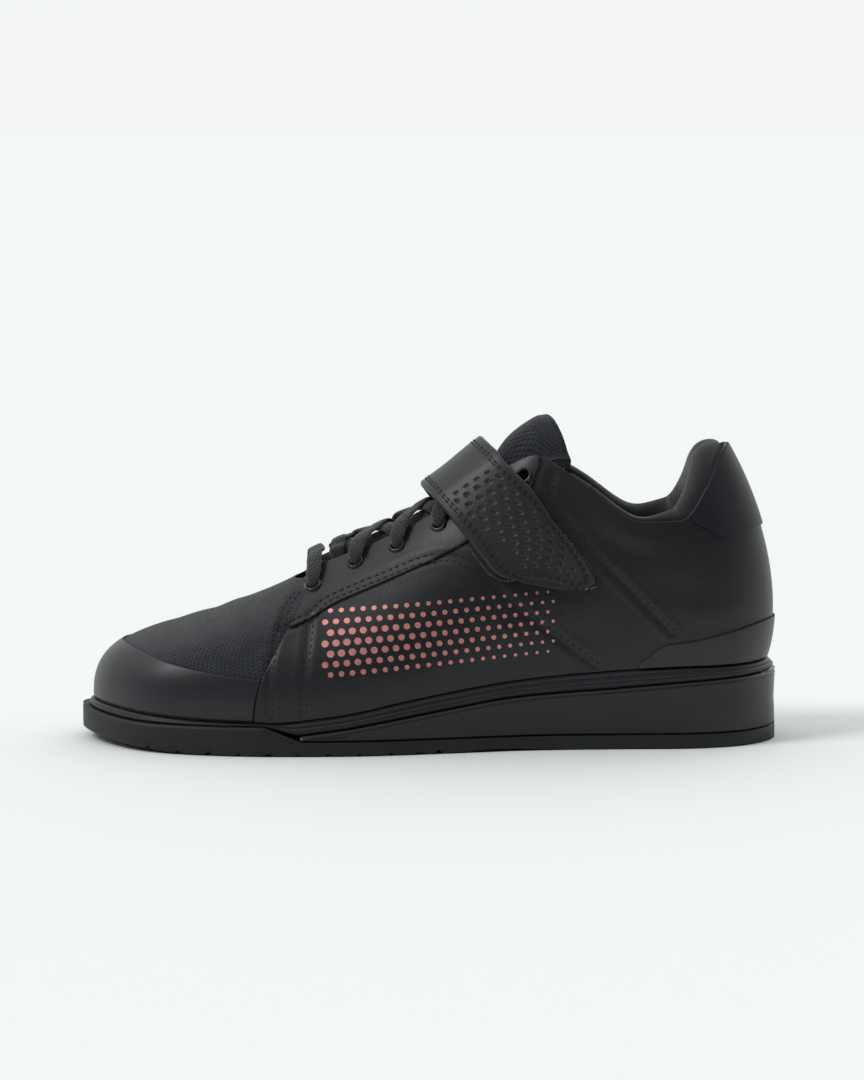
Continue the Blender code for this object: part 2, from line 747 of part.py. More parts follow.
def build_tongue(material):
    # It lies under the eyestays, swells out of the throat above the strap and
    # wraps back round the ankle at its free end.
    front = angle_of(0.215)
    back = angle_of(0.655)
    behind_laces = angle_of(0.582)
    angles = [front] + [a for a in upper_angles() if front + 0.03 < a < back - 0.03] + [back]
    angles = sorted(angles + [behind_laces])
    swell = Curve((behind_laces, angle_of(0.605), back), (0.0, 0.6, 1.0))
    steps = len(angles) - 1
    wing = 0.37
    columns = 10
    girths = [wing * (2 * k / columns - 1) for k in range(columns + 1)]
    clear = UPPER_WALL + TONGUE_CLEARANCE
    rows, normals = [], []
    for i, angle in enumerate(angles):
        narrow = 1 - 0.16 * (i / steps) ** 3
        row = []
        for g in girths:
            open_part = max(0.0, 1 - (g / THROAT_GIRTH) ** 2)
            row.append(body_point(angle, g * narrow) + UP * (TONGUE_CROWN * swell(angle) * open_part))
        rows.append(row)
        normals.append([body_normal(angle, g * narrow) for g in girths])
    free = 3
    last, last_normals = rows[-1], normals[-1]
    for i in range(1, free + 1):
        t = i / free
        row, row_normals = [], []
        for g, point, normal in zip(girths, last, last_normals):
            side_share = abs(g) / wing
            lean = TONGUE_LEAN * t + TONGUE_WRAP * t * side_share ** 1.5
            row.append(point + np.array((lean, -point[1] * 0.26 * t * side_share, TONGUE_RISE * t)))
            tip = normal + np.array((-0.10 * t, 0.0, 0.0))
            row_normals.append(tip / np.linalg.norm(tip))
        rows.append(row)
        normals.append(row_normals)
    rows, normals = np.array(rows), np.array(normals)
    count = len(rows)
    outside = np.empty((count, len(girths)))
    inside = np.empty_like(outside)
    for i in range(count):
        end = min(1.0, 0.5 + 0.5 * (count - 1 - i) / 1.5)
        for k, g in enumerate(girths):
            open_part = max(0.0, 1 - abs(g) / THROAT_GIRTH)
            crown = 0.0014 * min(1.0, 2 * open_part) * (1 if i > 1 else 0)
            edge = 1 - 0.6 * max(0.0, abs(g) / wing - 0.6) / 0.4
            outside[i, k] = -clear + crown
            inside[i, k] = -clear - TONGUE_THICKNESS * edge * end
    sheet("tongue", rows, outside, inside, material, normals=normals)


def build_collar_lining(material):
    front = angle_of(0.70)
    angles = [front] + [a for a in upper_angles() if a > front + 0.03]
    spokes = [(a, -1) for a in angles] + [(a, 1) for a in reversed(angles[:-1])]
    seat = UPPER_WALL + GAP * 1.2
    heights = (0.52, 0.66, 0.80, 0.91, 1.0)
    walls = np.array([[wall_point(a, side, v) for v in heights] for a, side in spokes])
    normals = grid_normals(walls, False)
    vertices, loops = [], []
    for i, (a, side) in enumerate(spokes):
        fade = min(1.0, 0.35 + 0.65 * min(i, len(spokes) - 1 - i) / 4)
        towards_heel = max(0.0, min(1.0, ((1 - math.cos(a)) / 2 - 0.84) / 0.10))
        thick = (COLLAR_PADDING + (HEEL_PADDING - COLLAR_PADDING) * towards_heel) * fade
        swell = max(0.0, min(1.0, ((1 - math.cos(a)) / 2 - 0.82) / 0.06))
        roll = COLLAR_ROLL * min(1.0, 0.25 + 0.75 * min(i, len(spokes) - 1 - i) / 6)
        roll += HEEL_ROLL * swell * min(1.0, (math.pi - a) / 0.35)
        run = walls[min(i + 1, len(spokes) - 1), 4] - walls[max(i - 1, 0), 4]
        away = np.cross(normals[i, 4], run)
        away *= math.copysign(1.0, away[2]) / np.linalg.norm(away)
        loop = [walls[i, j] - normals[i, j] * seat for j in range(5)]
        edge, out = walls[i, 4], normals[i, 4]
        loop.append(edge - out * (seat * 0.75) + away * (GAP * 1.5 + roll * 0.45))
        loop.append(edge - out * (seat + thick * 0.35) + away * roll)
        loop.append(edge - out * (seat + thick * 0.95) + away * roll * 0.35)
        loop += [walls[i, 3] - normals[i, 3] * (seat + thick * 1.05),
                 walls[i, 2] - normals[i, 2] * (seat + thick * 0.9),
                 walls[i, 1] - normals[i, 1] * (seat + thick * 0.55),
                 walls[i, 0] - normals[i, 0] * (seat + thick * 0.2)]
        loops.append(list(range(len(vertices), len(vertices) + len(loop))))
        vertices += loop
    count = len(loops[0])
    faces = [tuple(loops[0]), tuple(reversed(loops[-1]))]
    for here, there in zip(loops, loops[1:]):
        for j in range(count):
            k = (j + 1) % count
            faces.append((here[j], here[k], there[k], there[j]))
    make_object("collar_lining", vertices, faces, material)


def ribbon(path, width, thickness):
    # A flat lace along a path of points with their normals.
    vertices, faces = [], []
    count = len(path)
    for i, (point, normal) in enumerate(path):
        ahead = path[min(count - 1, i + 1)][0] - path[max(0, i - 1)][0]
        across = np.cross(ahead, normal)
        across /= np.linalg.norm(across)
        level = np.cross(across, ahead)
        level /= np.linalg.norm(level)
        for a, b in ((-0.5, 0), (-0.36, 0.5), (0.36, 0.5), (0.5, 0), (0.36, -0.5), (-0.36, -0.5)):
            vertices.append(point + across * a * width + level * b * thickness)
    for i in range(count - 1):
        for j in range(6):
            k = (j + 1) % 6
            faces.append((i * 6 + j, i * 6 + k, i * 6 + 6 + k, i * 6 + 6 + j))
    faces.append(tuple(range(6)))
    faces.append(tuple(reversed(range(count * 6 - 6, count * 6))))
    return vertices, faces


def lace_path(start, end, lifts):
    # From one side of the throat to the other, lifted above the wall.
    path = []
    for k, lift in enumerate(lifts):
        t = k / (len(lifts) - 1)
        angle = start[0] + (end[0] - start[0]) * t
        girth = start[1] + (end[1] - start[1]) * t
        point, normal = body_point(angle, girth), body_normal(angle, girth)
        path.append((point + normal * lift, normal))
    return path


def build_laces(places, material):
    rest = PANEL_SEAT + GAP * 4 + PANEL_THICKNESS + EYELET_HEIGHT + LACE_THICKNESS / 2
    under = 0.45 * LACE_THICKNESS
    over = under + 0.8 * LACE_THICKNESS
    by_place = {(side, number): (angle, side * (1 - v * (1 - THROAT_GIRTH)))
                for side, number, angle, v in places}
    bar = lace_path(by_place[-1, 1], by_place[1, 1],
                    (rest, rest, rest, under + GAP * 2, under, under + GAP * 2, rest, rest, rest))
    vertices, faces = ribbon(bar, LACE_WIDTH, LACE_THICKNESS)
    make_object("lace_bar", vertices, faces, material)
    dive = 0.78 * THROAT_GIRTH
    for number in range(1, EYELET_COUNT - 1):
        halves = []
        for side, middle in ((-1, over), (1, under)):
            start = by_place[side, number]
            if number == 1:
                start = (start[0] * 0.42 + by_place[side, 2][0] * 0.58, side * dive)
            end = (by_place[-side, number + 1][0] - 0.01, -side * dive)
            lifts = (rest, rest, rest, (rest + middle) / 2, middle, middle, middle,
                     0.1 * LACE_THICKNESS, -0.6 * LACE_THICKNESS)
            halves.append(ribbon(lace_path(start, end, lifts), LACE_WIDTH, LACE_THICKNESS))
        first = make_object("lace_crossing_%d" % number, *halves[0], material)
        second = make_object("lace half %d" % number, *halves[1], material)
        cut(first, second, "UNION")


def strap_surface(girths, across, trim, share):
    # A grid over the strap's run. Its edges are trimmed by a length, and it lies
    # at this share of the strap's own lift.
    knots = column(STRAP, 0)
    front, rear, front_lift, rear_lift = (Curve(knots, column(STRAP, k)) for k in (1, 2, 3, 4))
    points, normals = [], []
    for girth in girths:
        x_front = TOE_X + front(girth) * SOLE_LENGTH + trim
        x_rear = TOE_X + rear(girth) * SOLE_LENGTH - trim
        row, row_normals = [], []
        for k in range(across + 1):
            t = k / across
            angle = body_at(x_front + (x_rear - x_front) * t, girth)
            normal = body_normal(angle, girth)
            lift = (front_lift(girth) * (1 - t) + rear_lift(girth) * t) * STRAP_LIFT * share
            row.append(body_point(angle, girth) + normal * lift)
            row_normals.append(normal)
        points.append(row)
        normals.append(row_normals)
    return np.array(points).transpose(1, 0, 2), np.array(normals).transpose(1, 0, 2)


def build_strap(material, pad_material):
    knots = column(STRAP, 0)
    girths = knots[:3] + [knots[2] + (knots[-1] - knots[2]) * i / 20 for i in range(1, 21)]
    points, normals = strap_surface(girths, 5, 0.0, 1.0)
    half = STRAP_THICKNESS / 2
    sheet("strap", points, half, -half, material, normals=normals)
    tip, end = knots[1] - 0.004, knots[4]
    girths = [tip + (end - tip) * i / 7 for i in range(8)]
    points, normals = strap_surface(girths, 5, -PAD_OVERHANG, 0.0)
    sheet("strap_pad", points, GAP * 1.5 + PAD_THICKNESS, GAP * 1.5, pad_material, normals=normals)


def clear_scene():
    for thing in list(bpy.data.objects):
        bpy.data.objects.remove(thing, do_unlink=True)


def build():
    clear_scene()
    leather = make_material("smooth leather", (0.018, 0.019, 0.024), 0.45)
    mesh_cloth = make_material("woven mesh", (0.010, 0.013, 0.020), 0.9)
    guard_film = make_material("welded film", (0.028, 0.029, 0.034), 0.5)
    rubber = make_material("outsole rubber", (0.022, 0.023, 0.027), 0.6)
    wedge_plastic = make_material("wedge plastic", (0.016, 0.016, 0.020), 0.4)
    foam = make_material("midsole foam", (0.018, 0.020, 0.025), 0.6)
    lining = make_material("lining knit", (0.010, 0.013, 0.019), 0.95)
    lace_braid = make_material("lace braid", (0.012, 0.015, 0.021), 0.85)
    eyelet_metal = make_material("eyelet lacquer", (0.010, 0.010, 0.012), 0.25, 0.6)
    strap_leather = make_material("strap leather", (0.026, 0.027, 0.031), 0.42)
    build_outsole(rubber)
    build_wedge(wedge_plastic)
    build_midsole(foam)
    build_insole(lining)
    places = eyelet_places()
    cutter = hole_cutter(places)
    build_upper(leather, cutter)
    build_toe_guard(guard_film)
    build_heel_tab(leather)
    build_heel_counter(guard_film)
    build_eyestays(leather, cutter)
    build_eyelets(places, eyelet_metal)
    build_tongue(mesh_cloth)
    build_collar_lining(lining)
    build_laces(places, lace_braid)
    build_strap(strap_leather, lining)


build()
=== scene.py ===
import math

import bmesh
import bpy
import numpy as np
from mathutils import Matrix, Vector


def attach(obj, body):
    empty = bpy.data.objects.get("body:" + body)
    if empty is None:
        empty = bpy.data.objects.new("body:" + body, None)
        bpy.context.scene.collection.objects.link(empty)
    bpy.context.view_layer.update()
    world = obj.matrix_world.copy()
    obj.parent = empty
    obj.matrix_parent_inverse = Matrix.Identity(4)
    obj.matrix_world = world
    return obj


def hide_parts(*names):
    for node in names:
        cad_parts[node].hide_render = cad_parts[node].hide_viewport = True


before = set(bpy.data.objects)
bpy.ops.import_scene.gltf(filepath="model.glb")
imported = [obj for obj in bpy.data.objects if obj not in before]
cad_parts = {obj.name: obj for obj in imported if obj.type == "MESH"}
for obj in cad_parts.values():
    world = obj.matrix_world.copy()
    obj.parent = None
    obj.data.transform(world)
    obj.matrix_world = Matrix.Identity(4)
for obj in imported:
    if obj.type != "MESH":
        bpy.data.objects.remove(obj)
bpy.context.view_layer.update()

# Left weightlifting shoe: toe towards -X, outer side towards -Y, metres.

# Main sizes, the same as the solids have
shoe = {
    "soleLength": 0.2920, "ballWidth": 0.1065, "outsole": 0.0062,
    "foxing": 0.0120, "foxingToeLift": 0.0022, "toeSpring": 0.0050,
    "springShare": 0.24, "archDepth": 0.0010, "wedge": 0.0293, "wedgeTip": 0.0011,
    "feather": 0.0340, "featherInset": 0.0040, "upperWall": 0.0022,
    "vampStep": 0.0012, "heelTop": 0.1245, "openingFront": 0.305,
    "openingBack": 0.9265, "collarWidth": 0.0570, "throatShift": 0.0025,
    "quarterFront": 0.25, "gap": 0.0003, "throatGirth": 0.24, "steepest": 0.55,
    "foxingEnd": 0.265, "wedgeStart": 0.315, "chamfer": 0.0016, "acrossShift": 0.0017,
}

# Share of the length from the toe, outer and inner edge as shares of the width
outline = (
    (0.000, -0.055, 0.055), (0.030, 0.190, 0.280), (0.100, 0.385, 0.408),
    (0.200, 0.482, 0.472), (0.310, 0.512, 0.480), (0.420, 0.496, 0.436),
    (0.530, 0.436, 0.372), (0.640, 0.374, 0.334), (0.760, 0.350, 0.340),
    (0.860, 0.342, 0.342), (0.940, 0.278, 0.282), (0.985, 0.150, 0.152),
    (1.000, 0.000, 0.000),
)

# Share of the length, top of the wedge and feather line as shares of their heights
levels = (
    (0.000, 0.200, 0.490), (0.030, 0.200, 0.478), (0.100, 0.200, 0.435),
    (0.200, 0.200, 0.395), (0.280, 0.240, 0.385), (0.330, 0.305, 0.425),
    (0.380, 0.372, 0.480), (0.460, 0.508, 0.620), (0.530, 0.625, 0.728),
    (0.600, 0.735, 0.820), (0.680, 0.805, 0.892), (0.760, 0.858, 0.945),
    (0.880, 0.952, 0.998), (1.000, 1.000, 1.000),
)

# Sections of the upper: base, top, gap, height, belly, rise, reach, drop
sections = (
    (0.000, 0.0000, 0.000, 0.552, 0.015, 0.690, 0.440, 0.470),
    (0.030, 0.0049, 0.100, 0.553, 0.015, 0.665, 0.420, 0.450),
    (0.100, 0.0170, 0.165, 0.557, 0.020, 0.590, 0.360, 0.400),
    (0.190, 0.0330, 0.200, 0.570, 0.026, 0.480, 0.300, 0.340),
    (0.250, 0.0500, 0.215, 0.586, 0.028, 0.430, 0.262, 0.310),
    (0.330, 0.1100, 0.226, 0.624, 0.028, 0.390, 0.225, 0.270),
    (0.430, 0.2350, 0.236, 0.700, 0.024, 0.370, 0.185, 0.220),
    (0.530, 0.3650, 0.252, 0.805, 0.020, 0.370, 0.150, 0.180),
    (0.620, 0.5000, 0.290, 0.935, 0.016, 0.360, 0.105, 0.140),
    (0.660, 0.5600, 0.330, 0.970, 0.014, 0.360, 0.075, 0.150),
    (0.720, 0.6550, 0.430, 0.893, 0.012, 0.370, 0.045, 0.240),
    (0.810, 0.8000, 0.500, 0.757, 0.014, 0.370, 0.035, 0.300),
    (0.870, 0.8850, 0.490, 0.760, 0.024, 0.340, 0.050, 0.300),
    (0.930, 0.9450, 0.390, 0.860, 0.045, 0.310, 0.085, 0.300),
    (0.975, 0.9800, 0.235, 0.965, 0.065, 0.290, 0.120, 0.300),
    (1.000, 1.0000, 0.000, 1.000, 0.078, 0.280, 0.150, 0.300),
)


def angleOf(share):
    return math.acos(max(-1.0, min(1.0, 1 - 2 * share)))


def column(rows, index):
    return [row[index] for row in rows]


def smoothCurve(knots, values, start=None, end=None):
    # a curve through its knots that never swings past them
    knots, values = np.array(knots, float), np.array(values, float)
    steps = np.diff(knots)
    slopes = np.diff(values) / steps
    before, after = slopes[:-1], slopes[1:]
    mean = (before * steps[1:] + after * steps[:-1]) / (steps[1:] + steps[:-1])
    limit = 3 * np.minimum(abs(before), abs(after))
    inner = np.where(before * after > 0, np.sign(mean) * np.minimum(abs(mean), limit), 0.0)
    first = slopes[0] if start is None else start
    last = slopes[-1] if end is None else end
    tangents = np.concatenate(([first], inner, [last]))

    def at(x):
        x = np.clip(np.asarray(x, float), knots[0], knots[-1])
        i = np.clip(np.searchsorted(knots, x, side="right") - 1, 0, len(knots) - 2)
        t = (x - knots[i]) / steps[i]
        square, cube = t * t, t * t * t
        return ((2 * cube - 3 * square + 1) * values[i] + (cube - 2 * square + t) * steps[i] * tangents[i]
                + (3 * square - 2 * cube) * values[i + 1] + (cube - square) * steps[i] * tangents[i + 1])
    return at


toeX = -shoe["soleLength"] / 2
outlineAngles = [angleOf(s) for s in column(outline, 0)]
outerEdge = smoothCurve(outlineAngles, [-y for y in column(outline, 1)])
innerEdge = smoothCurve(outlineAngles, column(outline, 2))
wedgeCurve = smoothCurve(column(levels, 0), column(levels, 1), 0.0, 0.0)
featherCurve = smoothCurve(column(levels, 0), column(levels, 2))
sectionAngles = [angleOf(s) for s in column(sections, 0)]
topTurn = smoothCurve(sectionAngles, [angleOf(s) for s in column(sections, 1)])
topGap = smoothCurve(sectionAngles, column(sections, 2))
topHeight, belly, rise, reach, drop = (
    smoothCurve(sectionAngles, column(sections, k), 0.0, 0.0) for k in range(3, 8))


def shareOf(x):
    return np.clip((x - toeX) / shoe["soleLength"], 0.0, 1.0)


def wrapped(angle, side):
    # past the toe or the heel the angle goes on along the other side
    over, under = angle > math.pi, angle < 0
    folded = np.where(over, 2 * math.pi - angle, np.where(under, -angle, angle))
    return folded, np.where(over | under, -side, side)


def edgePoint(angle, side, inset=0.0):
    # the sole's outline; side -1 is the outer side, 1 the inner
    x = toeX * np.cos(angle)
    x = x - np.sign(x) * inset * abs(np.cos(angle)) ** 4
    y = np.where(side < 0, outerEdge(angle), innerEdge(angle)) * shoe["ballWidth"] + shoe["acrossShift"]
    y = y - side * inset * np.sqrt(np.maximum(0.0, np.sin(angle)))
    return np.stack([x, y, np.zeros_like(x)], -1)


def groundLevel(x):
    # toe spring and the small arch under the middle
    share = shareOf(x)
    ahead = np.maximum(0.0, 1 - share / shoe["springShare"])
    across = np.clip((share - 0.52) / 0.16, 0.0, 1.0)
    return shoe["toeSpring"] * ahead ** 2.4 + shoe["archDepth"] * np.sin(math.pi * across) ** 2


def outsoleLevel(x):
    full = stepDown(x)
    lift = np.maximum(0.0, 1 - shareOf(x) / 0.1)
    foxing = shoe["foxing"] + shoe["foxingToeLift"] * lift ** 2
    return full * foxing + (1 - full) * shoe["outsole"]


def stepDown(x):
    # 1 where the rubber wraps up round the toes, 0 where the wedge takes over
    return np.clip((shoe["wedgeStart"] - shareOf(x)) / (shoe["wedgeStart"] - shoe["foxingEnd"]), 0.0, 1.0)


def wedgeLevel(x):
    return np.maximum(wedgeCurve(shareOf(x)) * shoe["wedge"], shoe["outsole"] + shoe["gap"] + shoe["wedgeTip"])


def midsoleSeat(x):
    full = stepDown(x)
    lift = np.maximum(0.0, 1 - shareOf(x) / 0.1)
    foxing = shoe["foxing"] + shoe["foxingToeLift"] * lift ** 2
    return full * foxing + (1 - full) * wedgeLevel(x) + shoe["gap"]


def featherLevel(x):
    return np.maximum(featherCurve(shareOf(x)) * shoe["feather"], midsoleSeat(x) + shoe["gap"] * 3)


def levelNormal(pointAt, angle, side, step):
    # the outward normal, seen from above, of the outline or of the opening
    ahead = pointAt(*wrapped(angle + step, side))
    behind = pointAt(*wrapped(angle - step, side))
    run = ahead - behind
    normal = np.stack([run[..., 1], -run[..., 0], np.zeros(run.shape[:-1])], -1) * -side[..., None]
    return normal / np.linalg.norm(normal, axis=-1, keepdims=True)


openingFront = toeX + shoe["openingFront"] * shoe["soleLength"]
openingBack = toeX + shoe["openingBack"] * shoe["soleLength"]


def openingPoint(angle, side):
    # the edge of the throat and the collar
    turn = topTurn(angle)
    x = (openingFront + openingBack) / 2 - (openingBack - openingFront) / 2 * np.cos(turn)
    shift = shoe["acrossShift"] + shoe["throatShift"] * (1 - turn / math.pi)
    y = side * topGap(angle) * shoe["collarWidth"] + shift
    return np.stack([x, y, topHeight(angle) * shoe["heelTop"]], -1)


def handles(angle, side):
    # the four points of one section's curve, from the sole up to the opening
    up = np.array((0.0, 0.0, 1.0))
    base = edgePoint(angle, side, shoe["featherInset"])
    base[..., 2] = featherLevel(base[..., 0]) + shoe["gap"]
    top = openingPoint(angle, side)
    height = (top[..., 2] - base[..., 2])[..., None]
    wide = shoe["ballWidth"]
    low = (base + levelNormal(edgePoint, angle, side, 0.02) * (belly(angle) * wide)[..., None]
           + up * rise(angle)[..., None] * height)
    high = (top + levelNormal(openingPoint, angle, side, 0.03) * (reach(angle) * wide)[..., None]
            - up * drop(angle)[..., None] * height)
    return base, low, high, top


def wallPoint(angle, side, v):
    angle, side, v = np.broadcast_arrays(np.asarray(angle, float), np.asarray(side, float), np.asarray(v, float))
    base, low, high, top = handles(angle, side)
    v = v[..., None]
    w = 1 - v
    return w ** 3 * base + 3 * w * w * v * low + 3 * w * v * v * high + v ** 3 * top


def leaving(high, top):
    # the direction in which a section leaves its edge over the open throat
    run = top - high
    level = np.hypot(run[..., 0], run[..., 1])
    run[..., 2] = np.minimum(run[..., 2], shoe["steepest"] * level)
    return run / np.linalg.norm(run, axis=-1, keepdims=True)


def bodyPoint(angle, girth):
    # over the whole foot: outer wall, open throat, inner wall
    angle, girth = np.broadcast_arrays(np.asarray(angle, float), np.asarray(girth, float))
    throat = shoe["throatGirth"]
    side = np.where(girth < 0, -1.0, 1.0)
    wall = wallPoint(angle, side, (1 - abs(girth)) / (1 - throat))
    ones = np.ones_like(angle)
    outer, inner = handles(angle, -ones), handles(angle, ones)
    reaches = np.linalg.norm(inner[3] - outer[3], axis=-1, keepdims=True) * 0.36
    t = np.clip((girth + throat) / (2 * throat), 0.0, 1.0)[..., None]
    w = 1 - t
    bridge = (w ** 3 * outer[3] + 3 * w * w * t * (outer[3] + leaving(outer[2], outer[3]) * reaches)
              + 3 * w * t * t * (inner[3] + leaving(inner[2], inner[3]) * reaches) + t ** 3 * inner[3])
    return np.where((abs(girth) >= throat)[..., None], wall, bridge)


def unit(vectors):
    return vectors / np.maximum(np.linalg.norm(vectors, axis=-1, keepdims=True), 1e-12)


def bodyNormal(angle, girth, step=0.01):
    along = bodyPoint(angle + step, girth) - bodyPoint(angle - step, girth)
    across = bodyPoint(angle, girth + step) - bodyPoint(angle, girth - step)
    return unit(np.cross(along, across))


def bodyAt(x, girth):
    # the angle whose section passes this x at this girth
    low, high = np.zeros_like(x), np.full_like(x, math.pi)
    for _ in range(26):
        middle = (low + high) / 2
        ahead = bodyPoint(middle, girth)[..., 0] < x
        low, high = np.where(ahead, middle, low), np.where(ahead, high, middle)
    return (low + high) / 2


def loopPoint(turn, v):
    # turn 0 is the toe, pi the heel, and past it the inner side back to the toe
    turn = np.mod(turn, 2 * math.pi)
    side = np.where(turn <= math.pi, -1.0, 1.0)
    return wallPoint(np.where(turn <= math.pi, turn, 2 * math.pi - turn), side, v)


def loopSpot(turn, v):
    # places on the wall and their outward normals
    turn, v = np.broadcast_arrays(np.asarray(turn, float), np.asarray(v, float))
    along = loopPoint(turn + 0.01, v) - loopPoint(turn - 0.01, v)
    up = loopPoint(turn, np.minimum(v + 0.01, 1.0)) - loopPoint(turn, np.minimum(v + 0.01, 1.0) - 0.02)
    return loopPoint(turn, v), unit(np.cross(along, up))


# Finding the place on a side of the upper that has a given X and Z
gridAngles, gridHeights = np.meshgrid(np.linspace(0, math.pi, 361), np.linspace(0, 1, 141), indexing="ij")
sideGrids = {side: wallPoint(gridAngles, float(side), gridHeights) for side in (-1, 1)}


def locate(x, z, side):
    # angle and height on the wall, from millimetres seen from the side
    grid = sideGrids[side]
    found = []
    for px, pz in zip(np.atleast_1d(x) / 1000, np.atleast_1d(z) / 1000):
        off = (grid[..., 0] - px) ** 2 + (grid[..., 2] - pz) ** 2
        i, j = np.unravel_index(np.argmin(off), off.shape)
        found.append((gridAngles[i, j], gridHeights[i, j]))
    angle, v = np.array(found).T
    target = np.stack([np.atleast_1d(x), np.atleast_1d(z)], -1) / 1000
    for _ in range(4):
        here = wallPoint(angle, float(side), v)[..., [0, 2]]
        byAngle = (wallPoint(angle + 1e-3, float(side), v)[..., [0, 2]] - here) / 1e-3
        byHeight = (wallPoint(angle, float(side), v + 1e-3)[..., [0, 2]] - here) / 1e-3
        det = byAngle[:, 0] * byHeight[:, 1] - byAngle[:, 1] * byHeight[:, 0]
        det = np.where(abs(det) < 1e-7, 1e-7, det)
        miss = target - here
        turnStep = np.clip((miss[:, 0] * byHeight[:, 1] - miss[:, 1] * byHeight[:, 0]) / det, -0.02, 0.02)
        heightStep = np.clip((byAngle[:, 0] * miss[:, 1] - byAngle[:, 1] * miss[:, 0]) / det, -0.02, 0.02)
        angle = np.clip(angle + turnStep, 0, math.pi)
        v = np.clip(v + heightStep, 0, 1)
    return angle, v


def turnOf(angle, side):
    return np.where(side < 0, angle, 2 * math.pi - angle)


# Making meshes: every piece goes through finished()

def finished(bm, name, material, smooth=True):
    mesh = bpy.data.meshes.new(name)
    bm.to_mesh(mesh)
    bm.free()
    thing = bpy.data.objects.new(name, mesh)
    bpy.context.scene.collection.objects.link(thing)
    mesh.materials.append(material)
    if smooth:
        mesh.shade_smooth()
    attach(thing, "root")
    return thing


def gridMesh(columns, rows, place, size=(1.0, 1.0)):
    # a plain grid laid on a surface; size is the cloth's own size in metres, kept as UV
    bm = bmesh.new()
    uv = bm.loops.layers.uv.new("UVMap")
    bmesh.ops.create_grid(bm, x_segments=columns, y_segments=rows, size=0.5, calc_uvs=True)
    flat = np.array([vert.co[:2] for vert in bm.verts])
    low, high = flat.min(axis=0), flat.max(axis=0)
    share = (flat - low) / (high - low)
    for face in bm.faces:
        for loop in face.loops:
            u, v = share[loop.vert.index]
            loop[uv].uv = (u * size[0], v * size[1])
    places = place(share[:, 0], share[:, 1])
    for vert, spot in zip(bm.verts, places):
        vert.co = spot
    return bm


def merge(bm, distance=2e-6):
    bmesh.ops.remove_doubles(bm, verts=bm.verts, dist=distance)


def outward(bm):
    bmesh.ops.recalc_face_normals(bm, faces=bm.faces)


def thicken(thing, thickness, rim=None):
    solid = thing.modifiers.new("thickness", "SOLIDIFY")
    solid.thickness = thickness
    solid.offset = -1.0
    solid.use_even_offset = True
    if rim is not None:
        thing.data.materials.append(rim)
        solid.material_offset = 1
        solid.material_offset_rim = 1
    return solid


def roundEdges(thing, width, segments=2, angle=50):
    bevel = thing.modifiers.new("soft edges", "BEVEL")
    bevel.width = width
    bevel.segments = segments
    bevel.limit_method = "ANGLE"
    bevel.angle_limit = math.radians(angle)
    bevel.harden_normals = False


def subdivide(thing, levels):
    sub = thing.modifiers.new("smooth", "SUBSURF")
    sub.levels = levels
    sub.render_levels = levels


def applied(thing):
    # modifiers made part of the mesh, so that the piece is a plain mesh
    graph = bpy.context.evaluated_depsgraph_get()
    mesh = bpy.data.meshes.new_from_object(thing.evaluated_get(graph))
    old = thing.data
    thing.modifiers.clear()
    thing.data = mesh
    bpy.data.meshes.remove(old)


# Materials, each after the real one

def linear(text):
    # sRGB hex to linear
    values = [int(text[i:i + 2], 16) / 255 for i in (0, 2, 4)]
    return tuple(c / 12.92 if c <= 0.04045 else ((c + 0.055) / 1.055) ** 2.4 for c in values) + (1.0,)


def addNode(tree, kind, settings=(), links=()):
    node = tree.nodes.new(kind)
    for name, value in dict(settings).items():
        if isinstance(name, str) and hasattr(node, name):
            setattr(node, name, value)
        else:
            node.inputs[name].default_value = value
    for name, source in dict(links).items():
        tree.links.new(source, node.inputs[name])
    return node


def newMaterial(name, roughness, coat=0.0, metallic=0.0, sheen=0.0, ior=1.42, coatRoughness=0.3):
    material = bpy.data.materials.new(name)
    material.use_nodes = True
    tree = material.node_tree
    shader = tree.nodes["Principled BSDF"]
    for socket, value in (("Roughness", roughness), ("Metallic", metallic), ("IOR", ior), ("Coat Weight", coat),
                          ("Coat Roughness", coatRoughness), ("Sheen Weight", sheen)):
        shader.inputs[socket].default_value = value
    return material, tree, shader


def perMetre(millimetres):
    return 1000.0 / millimetres


def colourBetween(tree, factor, dark, light, low=0.3, high=0.7):
    ramp = addNode(tree, "ShaderNodeValToRGB", links={"Fac": factor})
    ramp.color_ramp.elements[0].position = low
    ramp.color_ramp.elements[1].position = high
    ramp.color_ramp.elements[0].color = linear(dark)
    ramp.color_ramp.elements[1].color = linear(light)
    return ramp.outputs["Color"]


def bumped(tree, shader, height, distance, strength):
    bump = addNode(tree, "ShaderNodeBump", {"Distance": distance, "Strength": strength}, {"Height": height})
    tree.links.new(bump.outputs["Normal"], shader.inputs["Normal"])


def roughBetween(tree, shader, factor, low, high):
    spread = addNode(tree, "ShaderNodeMapRange", {"To Min": low, "To Max": high}, {"Value": factor})
    tree.links.new(spread.outputs["Result"], shader.inputs["Roughness"])


